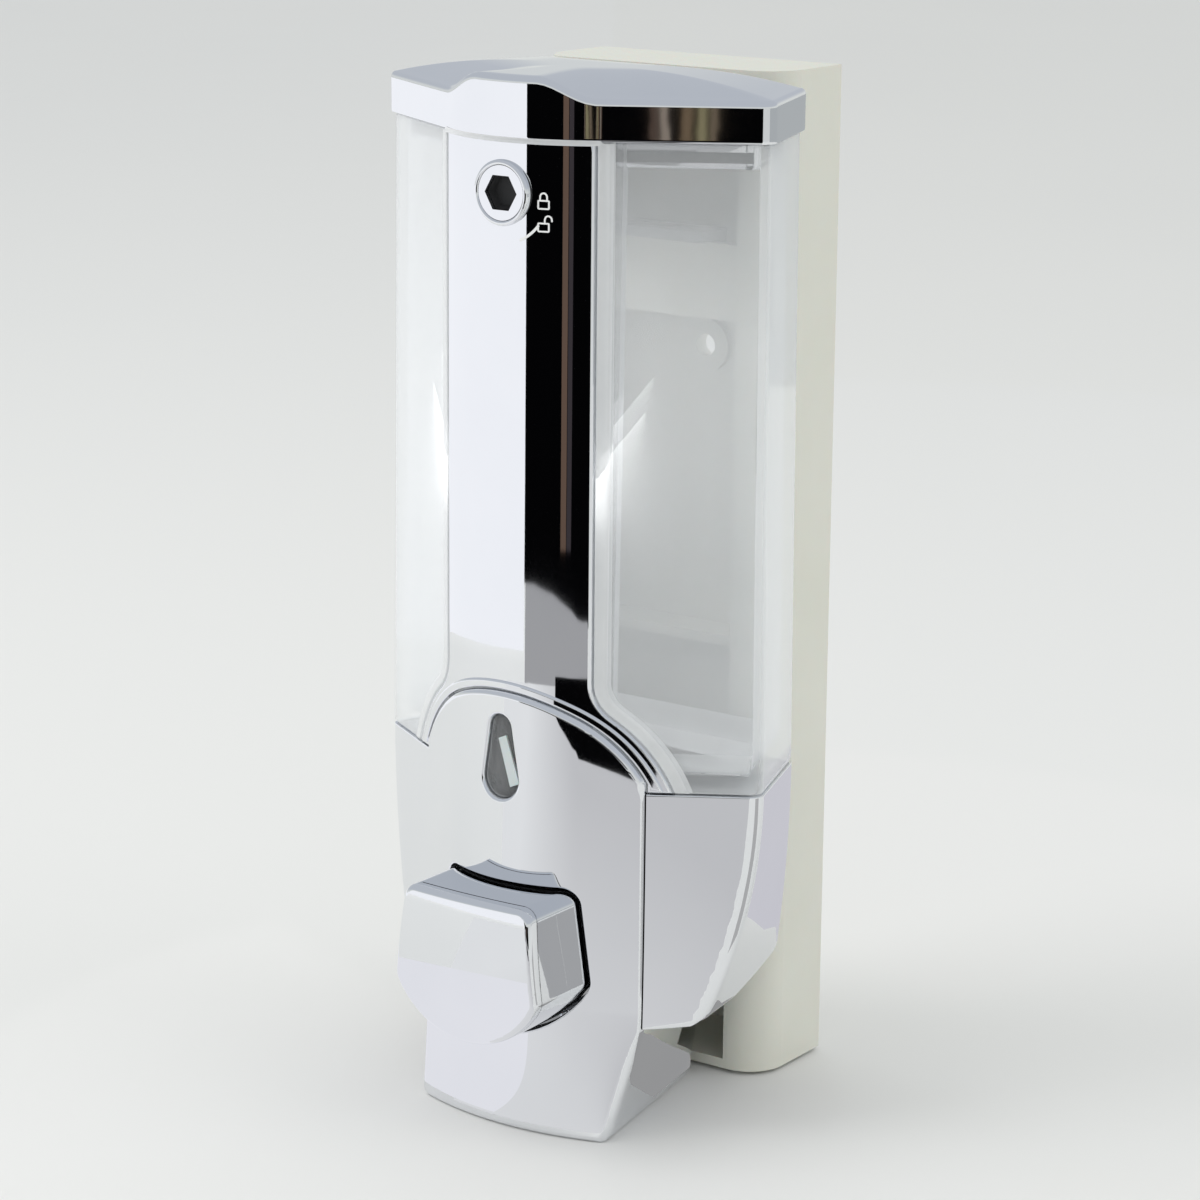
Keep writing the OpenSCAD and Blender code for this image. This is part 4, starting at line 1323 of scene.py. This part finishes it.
@dataclass
class Studio:
    """A pale floor, soft light, reflecting cards and the camera."""

    floor_z: float
    camera_at: Spot = (0.4047, -0.6109, 0.178)
    azimuth: float = 35.32
    elevation: float = 13.96
    roll: float = 0.0082
    lens: float = 109.6

    def camera(self) -> None:
        """Places the camera."""
        a, e = math.radians(self.azimuth), math.radians(self.elevation)
        back = Vector((math.sin(a) * math.cos(e), -math.cos(a) * math.cos(e), math.sin(e)))
        right = Vector((math.cos(a), math.sin(a), 0))
        up = back.cross(right)
        c, s = math.cos(self.roll), math.sin(self.roll)
        right, up = right * c + up * s, up * c - right * s
        data = bpy.data.cameras.new("camera")
        data.lens, data.sensor_width, data.clip_start = self.lens, 36.0, 0.01
        cam = bpy.data.objects.new("camera", data)
        turn = Matrix((right, up, back)).transposed().to_4x4()
        cam.matrix_world = Matrix.Translation(self.camera_at) @ turn
        bpy.context.scene.collection.objects.link(cam)
        bpy.context.scene.camera = cam

    def card(
        self,
        name: str,
        corners: Sequence[Spot],
        colour: str,
        strength: float,
        fade: tuple[str, float, float] | None = None,
    ) -> None:
        """A flat card that only reflections see.

        Args:
            name: Its name.
            corners: Its corners, in metres.
            colour: Its colour, sRGB hex.
            strength: How brightly it glows.
            fade: A second colour, and where along x the first gives way to it.
        """
        bm = bmesh.new()
        ring(bm, corners)
        bmesh.ops.contextual_create(bm, geom=bm.edges[:])
        mesh = bpy.data.meshes.new(name)
        bm.to_mesh(mesh)
        bm.free()
        material = bpy.data.materials.new(name)
        material.use_nodes = True
        material.node_tree.nodes.clear()
        tree = material.node_tree
        glow = add_node(tree, "ShaderNodeEmission", {"Color": srgb(colour), "Strength": strength})
        if fade is not None:
            place = add_node(tree, "ShaderNodeTexCoord").outputs["Object"]
            along = add_node(tree, "ShaderNodeSeparateXYZ", None, {"Vector": place}).outputs["X"]
            step = add_node(tree, "ShaderNodeMapRange", {"From Min": fade[1], "From Max": fade[2]}, {"Value": along})
            tree.links.new(blended(tree, step.outputs["Result"], colour, fade[0]), glow.inputs["Color"])
        add_node(tree, "ShaderNodeOutputMaterial", None, {"Surface": glow.outputs[0]})
        mesh.materials.append(material)
        obj = bpy.data.objects.new(name, mesh)
        bpy.context.scene.collection.objects.link(obj)
        obj.visible_camera = obj.visible_diffuse = obj.visible_shadow = obj.visible_transmission = False
        obj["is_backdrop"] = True

    def sweep(self, a0: float, a1: float, near: Sequence[float], far: Sequence[float], z: float) -> list[Spot]:
        """Corners of a curved patch of floor in front of the object.

        Args:
            a0: Its first angle, from the front towards the right.
            a1: Its last angle.
            near: Distances of its near edge, evenly spread over the angles.
            far: Distances of its far edge.
            z: Its height.

        Returns:
            The corners in order.
        """
        angles = np.radians(np.linspace(a0, a1, 25))
        share = np.linspace(0, 1, 25)
        edges = [np.interp(share, np.linspace(0, 1, len(line)), line) for line in (near, far)]
        spots = [[(r * math.sin(a), -0.05 - r * math.cos(a), z) for r, a in zip(edge, angles)] for edge in edges]
        return spots[0] + spots[1][::-1]

    def sector(self, a0: float, a1: float, r0: float, r1: float, z: float) -> list[Spot]:
        """Corners of a ring sector on the floor."""
        return self.sweep(a0, a1, [r0, r0], [r1, r1], z)

    def light(self, name: str, at: Spot, size: float, power: float, aim: Vector) -> None:
        """A soft square light.

        Args:
            name: Its name.
            at: Where it is.
            size: Its side.
            power: Its power in watts.
            aim: What it points at.
        """
        data = bpy.data.lights.new(name, "AREA")
        data.size, data.energy, data.color = size, power, (1.0, 0.99, 0.98)
        lamp = bpy.data.objects.new(name, data)
        lamp.location = at
        lamp.visible_glossy = lamp.visible_camera = lamp.visible_transmission = False
        lamp.rotation_mode = "QUATERNION"
        lamp.rotation_quaternion = (aim - Vector(at)).to_track_quat("-Z", "Y")
        bpy.context.scene.collection.objects.link(lamp)

    def floor(self) -> None:
        """A wide pale disc."""
        bm = bmesh.new()
        level = Matrix.Translation((0, 0, self.floor_z))
        bmesh.ops.create_circle(bm, cap_ends=True, segments=96, radius=6.0, matrix=level)
        mesh = bpy.data.meshes.new("floor")
        bm.to_mesh(mesh)
        bm.free()
        finish = Finish("matt_paper_floor", "E6E6E5", "E3E3E2", 0.0, 0.6, 0.1, 400.0, 2.0, 0.02)
        mesh.materials.append(finish.make())
        obj = bpy.data.objects.new("floor", mesh)
        bpy.context.scene.collection.objects.link(obj)
        obj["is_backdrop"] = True

    def world(self) -> None:
        """A pale surround that turns greyer overhead."""
        world = bpy.data.worlds.new("surround")
        world.use_nodes = True
        tree = world.node_tree
        tree.nodes.clear()
        way = add_node(tree, "ShaderNodeTexCoord").outputs["Generated"]
        height = add_node(tree, "ShaderNodeSeparateXYZ", None, {"Vector": way}).outputs["Z"]
        rise = add_node(tree, "ShaderNodeMapRange", {"From Min": 0.03, "From Max": 0.22}, {"Value": height})
        tone = blended(tree, rise.outputs["Result"], "DDE0DE", "BDC2CA")
        mirrored = add_node(tree, "ShaderNodeBackground", {"Strength": 1.0}, {"Color": tone})
        ambient = add_node(tree, "ShaderNodeBackground", {"Color": srgb("F1F3F2"), "Strength": 0.98})
        kind = add_node(tree, "ShaderNodeLightPath")
        both = add_node(tree, "ShaderNodeMixShader")
        tree.links.new(kind.outputs["Is Glossy Ray"], both.inputs[0])
        tree.links.new(ambient.outputs[0], both.inputs[1])
        tree.links.new(mirrored.outputs[0], both.inputs[2])
        add_node(tree, "ShaderNodeOutputWorld", None, {"Surface": both.outputs[0]})
        bpy.context.scene.world = world

    def build(self) -> None:
        """Sets up floor, lights, cards, surround and camera."""
        bpy.context.scene.view_settings.view_transform = "Standard"
        self.camera()
        self.floor()
        self.world()
        aim = Vector((0, -0.05, 0.0))
        self.light("key", (-0.7, -0.7, 1.0), 0.8, 5.5, aim)
        self.light("fill", (0.9, 0.2, 0.9), 0.8, 1.5, aim)
        self.light("tank_glow", (0.0, -0.06, 0.05), 0.05, 0.009, Vector((0, 0, 0.025)))
        self.cards(self.floor_z + 0.002)

    def cards(self, z: float) -> None:
        """Lays the cards, those further up over those lower down.

        Args:
            z: Height of the lowest cards.
        """
        over, higher, top = z + 0.001, z + 0.003, z + 0.004
        plain = (
            ("white_card", (-118, -15.5, 0.38, 2.8, z), "F6F7FB", 1.08, None),
            ("near_card", (-112, -3, 0.004, 0.125, z + 0.0005), "EFEFF4", 1.0, None),
            ("shade_card", (-30, 46, 0.004, 0.345, z), "ECEDEE", 1.0, ("CACACC", -0.05, 0.12)),
            ("grey_card", (-14.5, 34, 0.345, 0.47, z), "A6A6A8", 1.0, None),
            ("side_card", (84, 106, 0.1, 0.3, z), "B4B4B4", 1.0, None),
            ("back_card", (158, 200, 0.1, 0.26, z), "CFCED5", 1.0, None),
            # Painted shadow: the floor under the nose, shaded by the object, as the nose's side reflects it
            ("nose_shadow_card", (100, 150, 0.012, 0.055, z), "9C9C9C", 1.0, None),
            ("rear_card", (92, 215, 0.8, 3.0, z), "B0B4B6", 1.0, None),
            ("brown_card", (13, 17.2, 0.5, 2.6, higher), "6E5A4E", 0.8, None),
            ("slate_card", (17.6, 21, 0.5, 2.6, higher), "4C464A", 0.6, None),
        )
        for name, place, colour, strength, fade in plain:
            self.card(name, self.sector(*place), colour, strength, fade)
        near = [0.46, 0.46, 0.455, 0.45, 0.44, 0.43, 0.415, 0.41, 0.41]
        self.card("dark_card", self.sweep(-15.5, 44, near, [3.0, 3.0], over), "08080A", 0.5)
        near = [0.318, 0.303, 0.292, 0.28, 0.248]
        self.card("patch_card", self.sweep(10, 32.5, near, [0.352, 0.352], over), "0A0A0C", 0.5)
        bars = (
            ("first_bar", 27.73, 27.92, "54463E"),
            ("second_bar", 27.96, 28.14, "9C9084"),
            ("third_bar", 28.45, 28.67, "7A6854"),
            ("fourth_bar", 28.8, 28.98, "989070"),
            ("fifth_bar", 29.06, 29.2, "7C6E5E"),
        )
        for name, a0, a1, colour in bars:
            (x0, y0), (x1, y1) = ((math.sin(math.radians(a)), -math.cos(math.radians(a))) for a in (a0, a1))
            ways = ((x0, y0, 1.2), (x1, y1, 1.2), (x1, y1, 2.4), (x0, y0, 2.4))
            self.card(name, [(0.03 + x * r, -0.0585 + y * r, top) for x, y, r in ways], colour, 0.85)


def main() -> None:
    """Builds the dispenser and its studio."""
    logging.basicConfig(level=logging.INFO, format="%(name)s: %(message)s")
    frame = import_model()
    plan = Plan.from_frame()
    maker = Maker(plan)
    for name, finish in NODE_FINISHES.items():
        mesh = frame["nodes"][name].data
        mesh.materials.clear()
        mesh.materials.append(finish.make())
    for assembly in (Lid, FrontStrip, Tank, Cover, Housing, Button, Spring, Lock):
        assembly(maker).build()
    Studio(floor_z=plan.base).build()
    lo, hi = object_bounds()
    corners = [tuple(round(v, 4) for v in corner) for corner in (lo, hi)]
    log.info("%d pieces made; box %s to %s", len(maker.made), *corners)


if __name__ == "__main__":
    main()
